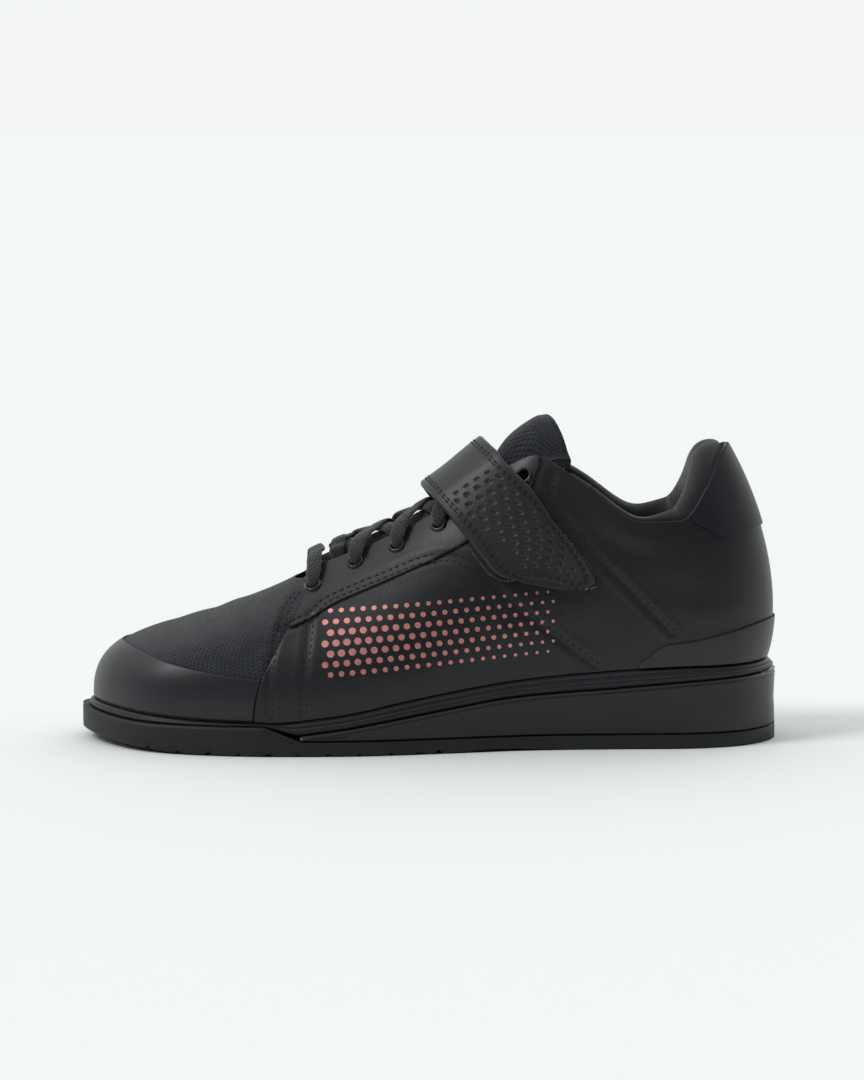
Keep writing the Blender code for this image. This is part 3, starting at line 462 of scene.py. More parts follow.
def leatherMaterial(name, dark, light, roughness, grain=1.1, depth=0.00007, coat=0.05):
    # corrected-grain leather: fine pebbles under a thin semi-gloss finish, cloudy in tone
    material, tree, shader = newMaterial(name, roughness, coat=coat, coatRoughness=0.35)
    spot = addNode(tree, "ShaderNodeTexCoord").outputs["Object"]
    cloud = addNode(tree, "ShaderNodeTexNoise", {"Scale": perMetre(38), "Detail": 3.0}, {"Vector": spot})
    pebbles = addNode(tree, "ShaderNodeTexVoronoi", {"feature": "SMOOTH_F1", "Scale": perMetre(grain)},
                      {"Vector": spot})
    pores = addNode(tree, "ShaderNodeTexNoise", {"Scale": perMetre(0.5), "Detail": 2.0}, {"Vector": spot})
    tree.links.new(colourBetween(tree, cloud.outputs["Fac"], dark, light), shader.inputs["Base Color"])
    roughBetween(tree, shader, pores.outputs["Fac"], roughness - 0.07, roughness + 0.09)
    both = addNode(tree, "ShaderNodeMath", {"operation": "ADD"},
                   {0: pebbles.outputs["Distance"], 1: pores.outputs["Fac"]})
    bumped(tree, shader, both.outputs[0], depth, 0.7)
    return material


def wovenMaterial(name, dark, light, threadMm, depth, slant=0.0, stretch=1.0, sheen=0.25, roughness=0.85):
    # cloth: two sets of threads over each other, read from the piece's own UV in metres
    material, tree, shader = newMaterial(name, roughness, sheen=sheen, ior=1.45)
    spot = addNode(tree, "ShaderNodeTexCoord").outputs["UV"]
    turned = addNode(tree, "ShaderNodeMapping", {"Rotation": (0.0, 0.0, slant), "Scale": (1.0, stretch, 1.0)},
                     {"Vector": spot}).outputs["Vector"]
    blur = addNode(tree, "ShaderNodeTexNoise", {"Scale": perMetre(6), "Detail": 2.0}, {"Vector": spot})
    waves = []
    bands = {"Scale": perMetre(threadMm) * math.pi / 10, "Distortion": 0.6, "Detail": 1.0, "Detail Scale": 1.5}
    for direction in ("X", "Y"):
        wave = addNode(tree, "ShaderNodeTexWave", {"bands_direction": direction, **bands}, {"Vector": turned})
        waves.append(wave.outputs["Fac"])
    weave = addNode(tree, "ShaderNodeMath", {"operation": "MAXIMUM"}, {0: waves[0], 1: waves[1]}).outputs[0]
    mixed = addNode(tree, "ShaderNodeMath", {"operation": "MULTIPLY"}, {0: weave, 1: blur.outputs["Fac"]})
    tree.links.new(colourBetween(tree, mixed.outputs[0], dark, light, 0.12, 0.62), shader.inputs["Base Color"])
    bumped(tree, shader, weave, depth, 0.9)
    return material


def mouldedMaterial(name, dark, light, roughness, grain, depth, coat=0.0):
    # moulded rubber or plastic: a fine spark-eroded skin with faint dust and rub marks
    material, tree, shader = newMaterial(name, roughness, coat=coat)
    spot = addNode(tree, "ShaderNodeTexCoord").outputs["Object"]
    cloud = addNode(tree, "ShaderNodeTexNoise", {"Scale": perMetre(45), "Detail": 4.0}, {"Vector": spot})
    skin = addNode(tree, "ShaderNodeTexNoise", {"Scale": perMetre(grain), "Detail": 3.0}, {"Vector": spot})
    tree.links.new(colourBetween(tree, cloud.outputs["Fac"], dark, light), shader.inputs["Base Color"])
    roughBetween(tree, shader, skin.outputs["Fac"], roughness - 0.08, roughness + 0.08)
    bumped(tree, shader, skin.outputs["Fac"], depth, 0.6)
    return material


smoothLeather = leatherMaterial("corrected grain leather", "1a1b1f", "242529", 0.42)
panelLeather = leatherMaterial("corrected grain leather panels", "1d1e22", "28292d", 0.40)
heelLeather = leatherMaterial("corrected grain leather heel", "13161c", "1b1e25", 0.45)
strapLeather = leatherMaterial("coated strap leather", "212225", "2c2d30", 0.44, grain=0.8)
weldedFilm = leatherMaterial("welded polyurethane film", "1f2024", "292a2f", 0.40, grain=1.6, depth=0.00004,
                             coat=0.08)
edgeLeather = leatherMaterial("cut leather edge", "17181b", "222327", 0.8, coat=0.0)
vampCloth = wovenMaterial("woven polyester mesh", "090b10", "262b33", 1.5, 0.00030, slant=0.9, stretch=0.55)
tongueCloth = wovenMaterial("spacer mesh", "0a0c11", "252a31", 1.9, 0.00035, slant=0.5)
liningKnit = wovenMaterial("brushed lining knit", "0a0b10", "24252d", 1.5, 0.00035, slant=0.78, sheen=0.4)
liningInside = wovenMaterial("lining knit inside", "0d0f14", "202228", 1.3, 0.00015, sheen=0.3)
insoleCloth = wovenMaterial("insole knit", "0c0e12", "24272d", 1.4, 0.00018, sheen=0.3)
laceBraid = wovenMaterial("braided polyester lace", "090a0d", "282b31", 1.3, 0.00030, slant=0.785, sheen=0.3)
pileCloth = wovenMaterial("hook and loop pile", "08090b", "1b1c20", 0.9, 0.00035, slant=0.3, sheen=0.5)
outsoleRubber = mouldedMaterial("moulded rubber", "17181b", "202226", 0.58, 0.6, 0.00005)
wedgePlastic = mouldedMaterial("moulded thermoplastic wedge", "121216", "1a1a1e", 0.38, 0.8, 0.00003, coat=0.08)
midsoleFoam = mouldedMaterial("moulded foam midsole", "121419", "1b1d22", 0.45, 0.7, 0.00004)
# the thread's own near-black tone, set darker than the leather; part of that darkness is painted shade of the stitch
# holes and grooves
threadWithPaintedShade = mouldedMaterial("bonded nylon thread with painted shade", "090a0c", "131417", 0.55, 0.3, 0.00003)
eyeletLacquer, _, eyeletShader = newMaterial("black lacquered brass", 0.22, coat=0.6, metallic=0.4)
eyeletShader.inputs["Base Color"].default_value = linear("131316")


def foilMaterial():
    # rose foil pressed on the leather: metallic flake under a clear satin film
    material, tree, shader = newMaterial("rose metallic foil", 0.4, coat=0.25, metallic=0.55)
    spot = addNode(tree, "ShaderNodeTexCoord").outputs["Object"]
    flake = addNode(tree, "ShaderNodeTexNoise", {"Scale": perMetre(0.7), "Detail": 2.0}, {"Vector": spot})
    tree.links.new(colourBetween(tree, flake.outputs["Fac"], "d98983", "f0a6a0"), shader.inputs["Base Color"])
    bumped(tree, shader, flake.outputs["Fac"], 0.00003, 0.5)
    return material


roseFoil = foilMaterial()
print("materials made")


# Sole: slabs lofted round the outline, from the middle of one face to the middle of the other

def slabMesh(stations, rings, first=0.0):
    # rings: (share of the half width, inset, level), each a function of x
    start = angleOf(first)

    def place(u, v):
        turn = u * 2 - 1
        side = np.where(turn < 0, -1.0, 1.0)
        angle = start + (math.pi - start) * (1 - abs(turn))
        index = np.rint(v * (len(rings) - 1)).astype(int)
        points = np.zeros((len(u), 3))
        for k, (share, inset, level) in enumerate(rings):
            picked = index == k
            a, s = angle[picked], side[picked]
            x = toeX * np.cos(a)
            edge = edgePoint(a, s, inset(x))
            middle = (edgePoint(a, np.full_like(s, -1.0), 0.0) + edgePoint(a, np.full_like(s, 1.0), 0.0)) / 2
            edge[:, 1] = middle[:, 1] + (edge[:, 1] - middle[:, 1]) * share
            edge[:, 2] = level(edge[:, 0])
            points[picked] = edge
        return points
    bm = gridMesh(stations, len(rings) - 1, place, (0.62, 0.02))
    merge(bm)
    if first > 0:
        bmesh.ops.holes_fill(bm, edges=[e for e in bm.edges if e.is_boundary], sides=0)
    outward(bm)
    return bm


def same(value):
    return lambda x: np.full_like(x, value)


sole = {"round": 0.0011, "groove": 0.0013, "grooveWidth": 0.0018, "pitch": 0.0125, "stations": 560}


def treadLevel(x):
    # rounded grooves across the tread, under the ball and the heel
    ground = groundLevel(x)
    share = shareOf(x)
    near = abs(np.mod(x - toeX - 0.1 * shoe["soleLength"] + sole["pitch"] / 2, sole["pitch"]) - sole["pitch"] / 2)
    cut = np.clip(1.4 * (1 - (near / (sole["grooveWidth"] * 0.62)) ** 4), 0, 1) * ((share > 0.09) & (share < 0.5))
    notch = abs(x - toeX - 0.51 * shoe["soleLength"])
    cut = cut + 1.9 * np.clip(1.4 * (1 - (notch / 0.0010) ** 4), 0, 1)
    return ground + sole["groove"] * cut


def sideNibs(x):
    return treadLevel(x) * 0.9 + groundLevel(x) * 0.1


outsoleRings = (
    (0.0, same(0), treadLevel), (0.5, same(0), treadLevel), (0.93, same(0), treadLevel),
    (1.0, same(sole["round"]), sideNibs),
    (1.0, same(sole["round"] * 0.3), lambda x: sideNibs(x) + sole["round"] * 0.3),
    (1.0, same(0), lambda x: np.maximum(sideNibs(x), groundLevel(x) + sole["round"])),
    (1.0, same(0), lambda x: (groundLevel(x) + outsoleLevel(x)) / 2 + 0.0003),
    (1.0, same(0), lambda x: outsoleLevel(x) - sole["round"]),
    (1.0, same(sole["round"] * 0.3), lambda x: outsoleLevel(x) - sole["round"] * 0.3),
    (1.0, same(sole["round"]), outsoleLevel),
    (0.8, same(0), outsoleLevel), (0.4, same(0), outsoleLevel), (0.0, same(0), outsoleLevel),
)
outsole = finished(slabMesh(sole["stations"], outsoleRings), "outsole_tread", outsoleRubber)
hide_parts("outsole")


def wedgeSeat(x):
    return outsoleLevel(x) + shoe["gap"]


def wedgeRim(depth, inset):
    return (1.0, same(inset), lambda x: np.maximum(wedgeSeat(x) + shoe["wedgeTip"] * 0.5, wedgeLevel(x) - depth))


chamfer = shoe["chamfer"]
wedgeRings = (
    (0.0, same(0), wedgeSeat), (0.6, same(0), wedgeSeat), (1.0, same(0.0008), wedgeSeat),
    (1.0, same(0.0001), lambda x: wedgeSeat(x) + 0.0005),
    (1.0, same(0.0005), lambda x: (wedgeSeat(x) + wedgeLevel(x)) / 2),
    wedgeRim(chamfer + 0.0006, 0.0001), wedgeRim(chamfer, 0.0000), wedgeRim(chamfer * 0.8, 0.0001),
    wedgeRim(chamfer * 0.15, chamfer * 0.55), wedgeRim(0.0, chamfer * 0.8),
    (0.9, same(0), lambda x: np.maximum(wedgeSeat(x) + shoe["wedgeTip"], wedgeLevel(x))),
    (0.0, same(0), lambda x: np.maximum(wedgeSeat(x) + shoe["wedgeTip"], wedgeLevel(x))),
)
wedge = finished(slabMesh(360, wedgeRings, shoe["wedgeStart"]), "heel_wedge_block", wedgePlastic)
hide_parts("heel_wedge")


def bandInset(front, rear):
    return lambda x: stepDown(x) * front + (1 - stepDown(x)) * rear


def bandLevel(share):
    return lambda x: midsoleSeat(x) + share * (featherLevel(x) - midsoleSeat(x))


inset = shoe["featherInset"]
midsoleRings = (
    (0.0, bandInset(inset * 0.8, 0.0019), bandLevel(0)), (0.8, bandInset(inset * 0.8, 0.0019), bandLevel(0)),
    (1.0, bandInset(inset * 0.8, 0.0019), bandLevel(0.0)),
    (1.0, bandInset(inset * 0.7, 0.0014), bandLevel(0.10)),
    (1.0, bandInset(inset * 0.68, 0.0009), bandLevel(0.26)),
    (1.0, bandInset(inset * 0.70, 0.0009), bandLevel(0.40)),
    (1.0, bandInset(inset * 0.75, 0.0013), bandLevel(0.49)),
    (1.0, bandInset(inset * 0.82, 0.0023), bandLevel(0.55)),
    (1.0, bandInset(inset * 0.82, 0.0022), bandLevel(0.60)),
    (1.0, bandInset(inset * 0.80, 0.0021), bandLevel(0.68)),
    (1.0, bandInset(inset * 0.90, 0.0026), bandLevel(0.80)),
    (1.0, bandInset(inset * 1.0, inset), bandLevel(1.0)),
    (0.8, same(inset), bandLevel(1.0)), (0.0, same(inset), bandLevel(1.0)),
)
midsole = finished(slabMesh(360, midsoleRings), "midsole_band", midsoleFoam)
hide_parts("midsole")

insoleSize = {"inset": inset + shoe["upperWall"] + 0.0007, "thickness": 0.0040, "cup": 0.0022}


def insoleTop(lift):
    return lambda x: featherLevel(x) + shoe["gap"] + insoleSize["thickness"] + lift


insoleRim = same(insoleSize["inset"] + 0.0006)
insoleRings = (
    (0.0, same(insoleSize["inset"]), lambda x: featherLevel(x) + shoe["gap"]),
    (0.85, same(insoleSize["inset"]), lambda x: featherLevel(x) + shoe["gap"]),
    (1.0, same(insoleSize["inset"] + 0.0008), lambda x: featherLevel(x) + shoe["gap"]),
    (1.0, same(insoleSize["inset"]), lambda x: featherLevel(x) + shoe["gap"] + 0.0012),
    (1.0, same(insoleSize["inset"]), insoleTop(-0.0006)),
    (1.0, insoleRim, insoleTop(insoleSize["cup"] * 0.5)),
    (0.80, insoleRim, insoleTop(0.0)), (0.6, insoleRim, insoleTop(-0.0005)),
    (0.3, insoleRim, insoleTop(-0.0007)), (0.0, insoleRim, insoleTop(-0.0007)),
)
insole = finished(slabMesh(240, insoleRings), "insole_cover", insoleCloth)
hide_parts("insole")
print("sole made")


# Upper: seams and creases are lists of X, Z in millimetres, as seen from the side

seams = {
    "quarterFront": ((-66.6, 16.8), (-66.8, 31.6), (-63.6, 48.6), (-59.8, 58.7), (-54.6, 64.9)),
    "bootSeam": ((-52.7, 16.8), (-52.2, 31.6), (-51.0, 43.3), (-49.6, 55.0)),
    "eyestay": ((-63.0, 50.8), (-55.5, 53.4), (-48.5, 56.6), (-41.5, 62.2), (-18.7, 71.6), (-4.0, 77.6),
                (6.0, 79.6), (13.0, 78.6), (21.4, 72.9), (37.1, 58.5), (53.7, 45.9), (70.4, 33.6)),
    "heelPanel": ((51.4, 113.0), (49.6, 108.0), (50.7, 102.0), (60.1, 90.2), (70.4, 78.7), (84.8, 64.4),
                  (100.2, 48.6)),
}

# start, middle, end, depth and width of each crease in millimetres; a ridge has a negative depth
creases = (
    ((-112.0, 52.0), (-101.0, 47.5), (-88.0, 46.0), 0.35, 3.2),
    ((-97.0, 61.0), (-88.0, 52.0), (-82.0, 42.0), 0.45, 3.4),
    ((-86.0, 64.0), (-79.0, 53.0), (-76.0, 42.0), -0.30, 3.6),
    ((-38.0, 47.0), (-28.0, 37.0), (-14.0, 30.0), -0.30, 5.0),
    ((8.0, 72.0), (24.0, 56.0), (40.0, 44.0), -0.35, 4.5),
    ((60.0, 96.0), (76.0, 84.0), (94.0, 79.0), 0.55, 5.0),
    ((72.0, 98.0), (86.0, 88.0), (104.0, 86.0), -0.40, 4.0),
    ((84.0, 72.0), (100.0, 66.0), (120.0, 66.0), 0.35, 6.0),
    ((100.0, 58.0), (116.0, 56.0), (134.0, 60.0), -0.30, 5.0),
    ((40.0, 56.0), (56.0, 48.0), (74.0, 46.0), 0.25, 5.0),
)


def lineDistance(x, z, line):
    # how far points lie from a line of corners, and how far along it, 0 to 1
    best = np.full(x.shape, 1e9)
    share = np.zeros(x.shape)
    count = len(line) - 1
    for i in range(count):
        (x0, z0), (x1, z1) = line[i], line[i + 1]
        dx, dz = x1 - x0, z1 - z0
        t = np.clip(((x - x0) * dx + (z - z0) * dz) / (dx * dx + dz * dz), 0, 1)
        off = np.hypot(x - x0 - t * dx, z - z0 - t * dz)
        share = np.where(off < best, (i + t) / count, share)
        best = np.minimum(best, off)
    return best, share


def rounded(line, steps=8):
    # the same line with its corners softened
    line = np.array(line, float)
    t = np.arange(len(line))
    fine = np.linspace(0, len(line) - 1, (len(line) - 1) * steps + 1)
    return np.stack([smoothCurve(t, line[:, 0])(fine), smoothCurve(t, line[:, 1])(fine)], -1)


softSeams = {name: rounded(line) for name, line in seams.items()}


# millimetres: depth and width of a seam's trough, and of the swell beside it
trough = {"depth": 0.42, "width": 1.7, "swell": 0.14, "swellAt": 3.2, "swellWidth": 1.2}


def relief(points):
    # depth of creases and seam troughs at these points, in metres, positive inwards
    x, z = points[..., 0] * 1000, points[..., 2] * 1000
    depth = np.zeros(x.shape)
    for *line, deep, wide in creases:
        off, share = lineDistance(x, z, rounded(line, 4))
        depth += deep * np.exp(-(off / wide) ** 2) * np.sin(np.pi * np.clip(share, 0.02, 0.98)) ** 0.7
    for line in softSeams.values():
        off, _ = lineDistance(x, z, line)
        depth += trough["depth"] * np.exp(-(off / trough["width"]) ** 2)
        depth -= trough["swell"] * np.exp(-((off - trough["swellAt"]) / trough["swellWidth"]) ** 2)
    return depth / 1000


quarterTurn = angleOf(shoe["quarterFront"])


def upperSheet(columns, rows, start, end, offset, size, high=1.0):
    # a sheet on the wall between two turns, sunk by its offset and by the creases
    def place(u, v):
        points, normals = loopSpot(start + (end - start) * u, high * v)
        return points - normals * (offset + relief(points))[:, None]
    return gridMesh(columns, rows, place, size)


eyelets = {"firstX": -0.0483, "pitch": 0.0175, "setback": 0.0080, "firstSetback": 0.0130, "count": 6,
           "hole": 0.0046, "flange": 0.0074, "punch": 0.0026, "punchDepth": 0.012, "seat": 0.0011}


def eyeletPlaces():
    places = []
    for side in (-1, 1):
        for i in range(eyelets["count"]):
            setback = eyelets["firstSetback"] if i == 0 else eyelets["setback"]
            x = np.array([eyelets["firstX"] + i * eyelets["pitch"]])
            v = 1.0
            angle = bodyAt(x, np.array([side * shoe["throatGirth"]]))
            while np.linalg.norm(wallPoint(angle, float(side), v) - wallPoint(angle, float(side), 1.0)) < setback:
                v -= 0.004
                angle = bodyAt(x, np.array([side * (1 - v * (1 - shoe["throatGirth"]))]))
            girth = side * (1 - v * (1 - shoe["throatGirth"]))
            places.append((side, i + 1, float(angle[0]), girth))
    return places


places = eyeletPlaces()


def standing(place, normal):
    # a matrix that stands a piece's own Z on the normal at a place
    turn = Vector((0, 0, 1)).rotation_difference(Vector(normal)).to_matrix().to_4x4()
    return Matrix.Translation(Vector(place)) @ turn


def eyeletCutter():
    bm = bmesh.new()
    for side, _, angle, girth in places:
        centre, normal = bodyPoint(angle, girth), bodyNormal(angle, girth)
        bmesh.ops.create_cone(bm, cap_ends=True, segments=20, radius1=eyelets["punch"], radius2=eyelets["punch"],
                              depth=eyelets["punchDepth"], matrix=standing(centre, normal))
    mesh = bpy.data.meshes.new("eyelet punch")
    bm.to_mesh(mesh)
    bm.free()
    punch = bpy.data.objects.new("eyelet_punch", mesh)
    bpy.context.scene.collection.objects.link(punch)
    return punch


punch = eyeletCutter()


def punched(thing):
    cut = thing.modifiers.new("eyelet holes", "BOOLEAN")
    cut.operation = "DIFFERENCE"
    cut.solver = "EXACT"
    cut.object = punch
    applied(thing)
    thing.data.shade_smooth()


full = 2 * math.pi
vamp = finished(upperSheet(150, 90, -quarterTurn - 0.012, quarterTurn + 0.012, shoe["vampStep"], (0.21, 0.085)),
                "vamp_mesh", vampCloth)
thicken(vamp, 0.0005)
quarter = finished(upperSheet(420, 84, quarterTurn, full - quarterTurn, 0.0, (0.5, 0.09)),
                   "quarter_leather", smoothLeather)
thicken(quarter, 0.0015, edgeLeather)
roundEdges(quarter, 0.0004)
punched(quarter)
lining = finished(upperSheet(260, 40, 0.0, full, 0.00168, (0.6, 0.09), high=0.985),
                  "upper_lining", liningInside)
thicken(lining, 0.0005)
for piece in (vamp, quarter, lining):
    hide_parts("upper")
punched(lining)
print("upper made")


# Overlays welded or sewn on the upper

def overlay(name, node, columns, rows, start, end, lowAt, highAt, seat, thickness, material, size,
            holes=False):
    def place(u, v):
        turn = start + (end - start) * u
        angle = np.minimum(np.mod(turn, full), full - np.mod(turn, full))
        low, high = lowAt(angle), highAt(angle)
        points, normals = loopSpot(turn, low + (high - low) * v)
        return points + normals * (seat + thickness - relief(points))[:, None]
    thing = finished(gridMesh(columns, rows, place, size), name, material)
    thicken(thing, thickness + 0.0003, edgeLeather)
    roundEdges(thing, min(0.0004, thickness * 0.45))
    if holes:
        punched(thing)
    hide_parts(node)
    return thing


guardTop = smoothCurve((0.0, angleOf(0.03), angleOf(0.10), quarterTurn), (0.36, 0.345, 0.30, 0.255), 0.0)
overlay("toe_guard_film", "toe_guard", 160, 30, -quarterTurn + 0.004, quarterTurn - 0.004,
        same(0.008), guardTop, -shoe["vampStep"], 0.0007, weldedFilm, (0.2, 0.02))
tabFront = angleOf(0.895)
tabLow = smoothCurve((tabFront, angleOf(0.94), math.pi), (0.93, 0.70, 0.62), None, 0.0)
overlay("heel_tab_leather", "heel_tab", 110, 40, tabFront, full - tabFront, tabLow, same(0.99),
        0.0002, 0.0009, heelLeather, (0.12, 0.04))
counterFront = angleOf(0.80)
counterHigh = smoothCurve((counterFront, angleOf(0.845), math.pi), (0.035, 0.15, 0.21), None, 0.0)
overlay("heel_counter_film", "heel_counter", 150, 16, counterFront, full - counterFront,
        same(0.005), counterHigh, 0.0002, 0.0007, weldedFilm, (0.2, 0.02))
stayBack = angleOf(0.665)
stayStart = quarterTurn + 0.0052
stayLow = smoothCurve((stayStart, angleOf(0.33), angleOf(0.43), angleOf(0.56), angleOf(0.645), stayBack),
                      (0.60, 0.68, 0.70, 0.68, 0.73, 0.92))
for side, word in ((-1, "outer"), (1, "inner")):
    ends = (stayStart, stayBack) if side < 0 else (full - stayBack, full - stayStart)
    overlay("eyestay_%s_leather" % word, "eyestay_" + word, 150, 26, ends[0], ends[1], stayLow,
            same(0.992), 0.0002, 0.0009, panelLeather, (0.12, 0.02), holes=True)
bpy.data.objects.remove(punch, do_unlink=True)
print("overlays made")


# Stitching: short threads along double lines

stitch = {"length": 0.0024, "pitch": 0.0031, "width": 0.00090, "apart": 0.0015}


def stitchRow(bm, points, normals, offset):
    # evenly spaced threads along a path, moved sideways on the surface by the offset
    runs = np.linalg.norm(np.diff(points, axis=0), axis=1)
    along = np.concatenate(([0.0], np.cumsum(runs)))
    at = np.arange(stitch["pitch"] / 2, along[-1], stitch["pitch"])
    spots = np.stack([np.interp(at, along, points[:, k]) for k in range(3)], -1)
    ups = unit(np.stack([np.interp(at, along, normals[:, k]) for k in range(3)], -1))
    tangents = unit(np.gradient(spots, axis=0)) if len(at) > 1 else np.zeros_like(spots)
    for spot, up, tangent in zip(spots, ups, tangents):
        across = np.cross(up, tangent)
        basis = Matrix((tuple(tangent) + (0,), tuple(across) + (0,), tuple(up) + (0,), (0, 0, 0, 1))).transposed()
        size = Matrix.Diagonal((stitch["length"] / 2, stitch["width"] / 2, stitch["width"] / 2.4, 1))
        where = Matrix.Translation(Vector(spot + across * offset))
        bmesh.ops.create_uvsphere(bm, u_segments=6, v_segments=4, radius=1.0, matrix=where @ basis @ size)


def seamPath(line, side, lift):
    angle, v = locate(line[:, 0], line[:, 1], side)
    points, normals = loopSpot(turnOf(angle, side), v)
    onStay = (v > stayLow(angle)) & (angle > stayStart) & (angle < stayBack)
    return points + normals * (lift + np.where(onStay, 0.0011, 0.0) - relief(points))[:, None], normals


threads = bmesh.new()
for side in (-1, 1):
    for line in softSeams.values():
        path, normals = seamPath(line, side, 0.0001)
        for offset in (-stitch["apart"], stitch["apart"]):
            stitchRow(threads, path, normals, offset)
seamThreads = finished(threads, "seam_threads", threadWithPaintedShade)
print("stitches made")


# Foil dots on the outer side, graded from large to small towards the heel

# millimetres, apart from the thickness; the field runs back from "start" and rises with the middle line
dots = {"rowStep": 4.1, "columnStep": 4.5, "thickness": 0.00016, "segments": 14, "start": -43.5, "length": 95.0,
        "middle": 45.5, "climb": 8.0, "reach": 13.5, "spread": 2.0, "large": 1.75, "shrink": 0.95}


def foilDots():
    bm = bmesh.new()
    xs, zs, radii = [], [], []
    for row in range(-1, 10):
        for step in range(0, 24):
            x = dots["start"] + step * dots["columnStep"] + (dots["columnStep"] / 2 if row % 2 else 0.0)
            share = (x - dots["start"]) / dots["length"]
            middle = dots["middle"] + dots["climb"] * share
            z = middle + (row - 4) * dots["rowStep"]
            reachUp = dots["reach"] + dots["spread"] * share
            across = (z - middle) / reachUp
            ends = abs(share * 2 - 1)
            if abs(across) > 1.0 or share > 1.0:
                continue
            radius = dots["large"] - dots["shrink"] * share
            radius *= 1.0 - 0.45 * max(0.0, abs(across) - 0.35) - 0.25 * max(0.0, ends - 0.75)
            xs.append(x)
            zs.append(z)
            radii.append(radius / 1000)
    angle, v = locate(np.array(xs), np.array(zs), -1)
    points, normals = loopSpot(turnOf(angle, -1), v)
    points = points - normals * relief(points)[:, None]
    for point, normal, radius in zip(points, normals, radii):
        spot = standing(point + normal * dots["thickness"] * 0.3, normal)
        bmesh.ops.create_cone(bm, cap_ends=True, segments=dots["segments"], radius1=radius, radius2=radius * 0.9,
                              depth=dots["thickness"] * 1.4, matrix=spot)
    return finished(bm, "foil_dots", roseFoil, smooth=False)


foil = foilDots()


# Eyelets: rings spun from their section and set in their holes

def eyeletRings(side):
    bm = bmesh.new()
    hole, flange = eyelets["hole"] / 2, eyelets["flange"] / 2
    section = (
        (hole - 0.0003, -0.0024), (hole - 0.0002, 0.0004), (hole + 0.0001, 0.0008), (hole + 0.0006, 0.0010),
        (flange - 0.0005, 0.0009), (flange, 0.0004), (flange, 0.0), (hole + 0.0003, 0.0), (hole + 0.0001, -0.0024),
    )
    for s, number, angle, girth in places:
        if s != side:
            continue
        start = len(bm.verts)
        ring = [bm.verts.new((radius, 0.0, height)) for radius, height in section]
        edges = [bm.edges.new((ring[i], ring[(i + 1) % len(ring)])) for i in range(len(ring))]
        bmesh.ops.spin(bm, geom=ring + edges, cent=(0, 0, 0), axis=(0, 0, 1), angle=2 * math.pi, steps=24,
                       use_merge=True)
        bm.verts.ensure_lookup_table()
        made = [bm.verts[i] for i in range(start, len(bm.verts))]
        centre, normal = bodyPoint(angle, girth), bodyNormal(angle, girth)
        bmesh.ops.transform(bm, matrix=standing(centre + normal * eyelets["seat"], normal), verts=made)
    outward(bm)
    return bm


for side, word in ((-1, "outer"), (1, "inner")):
    rings = finished(eyeletRings(side), "eyelet_rings_" + word, eyeletLacquer)
    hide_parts(*["eyelet_%s_%d" % (word, k + 1) for k in range(eyelets["count"])])
print("eyelets made")


# Tongue: a padded sheet under the eyestays that stands up behind the strap

tongue = {"thickness": 0.0050, "rise": 0.0005, "crown": 0.0110, "wrap": 0.0140, "lean": 0.0035, "wing": 0.37,
          "clear": 0.0030}


def tonguePlace(u, v):
    # u runs across from the outer to the inner wing, v from the toe end to the free end
    free = 0.86
    body = np.clip(v / free, 0.0, 1.0)
    loose = np.clip((v - free) / (1 - free), 0.0, 1.0)
    angle = angleOf(0.19) + (angleOf(0.655) - angleOf(0.19)) * body
    girth = tongue["wing"] * (2 * u - 1)
    narrow = 1 - 0.16 * body ** 3
    swell = smoothCurve((angleOf(0.582), angleOf(0.605), angleOf(0.655)), (0.0, 0.6, 1.0))(angle)
    openPart = np.maximum(0.0, 1 - (girth / shoe["throatGirth"]) ** 2)
    point = bodyPoint(angle, girth * narrow)
    normal = bodyNormal(angle, girth * narrow)
    sideShare = abs(girth) / tongue["wing"]
    point[:, 2] += tongue["crown"] * swell * openPart + tongue["rise"] * loose
    wrap = tongue["wrap"] * loose * np.sin(sideShare * math.pi / 2) ** 1.3
    point[:, 0] += tongue["lean"] * loose * (1 - 0.6 * sideShare) + wrap
    point[:, 1] -= point[:, 1] * 0.26 * loose * sideShare
    crown = 0.0023 * np.minimum(1.0, 2 * np.maximum(0.0, 1 - abs(girth) / shoe["throatGirth"]))
    quilt = 0.0005 * np.exp(-((abs(girth) - 0.13) / 0.012) ** 2)
    return point + normal * (crown - tongue["clear"] - quilt)[:, None]


tongueGrid = gridMesh(90, 36, lambda u, v: tonguePlace(v, u), (0.13, 0.075))
tonguePiece = finished(tongueGrid, "tongue_padding", tongueCloth)
thicken(tonguePiece, tongue["thickness"]).use_even_offset = False
roundEdges(tonguePiece, 0.0019, 3)
subdivide(tonguePiece, 1)
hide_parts("tongue")
print("tongue made")


# Collar lining: a padded roll round the ankle

collar = {"padding": 0.0065, "heelPadding": 0.0160, "roll": 0.0036, "heelRoll": 0.0052, "seat": 0.00256}
collarHeights = (0.52, 0.66, 0.80, 0.91)


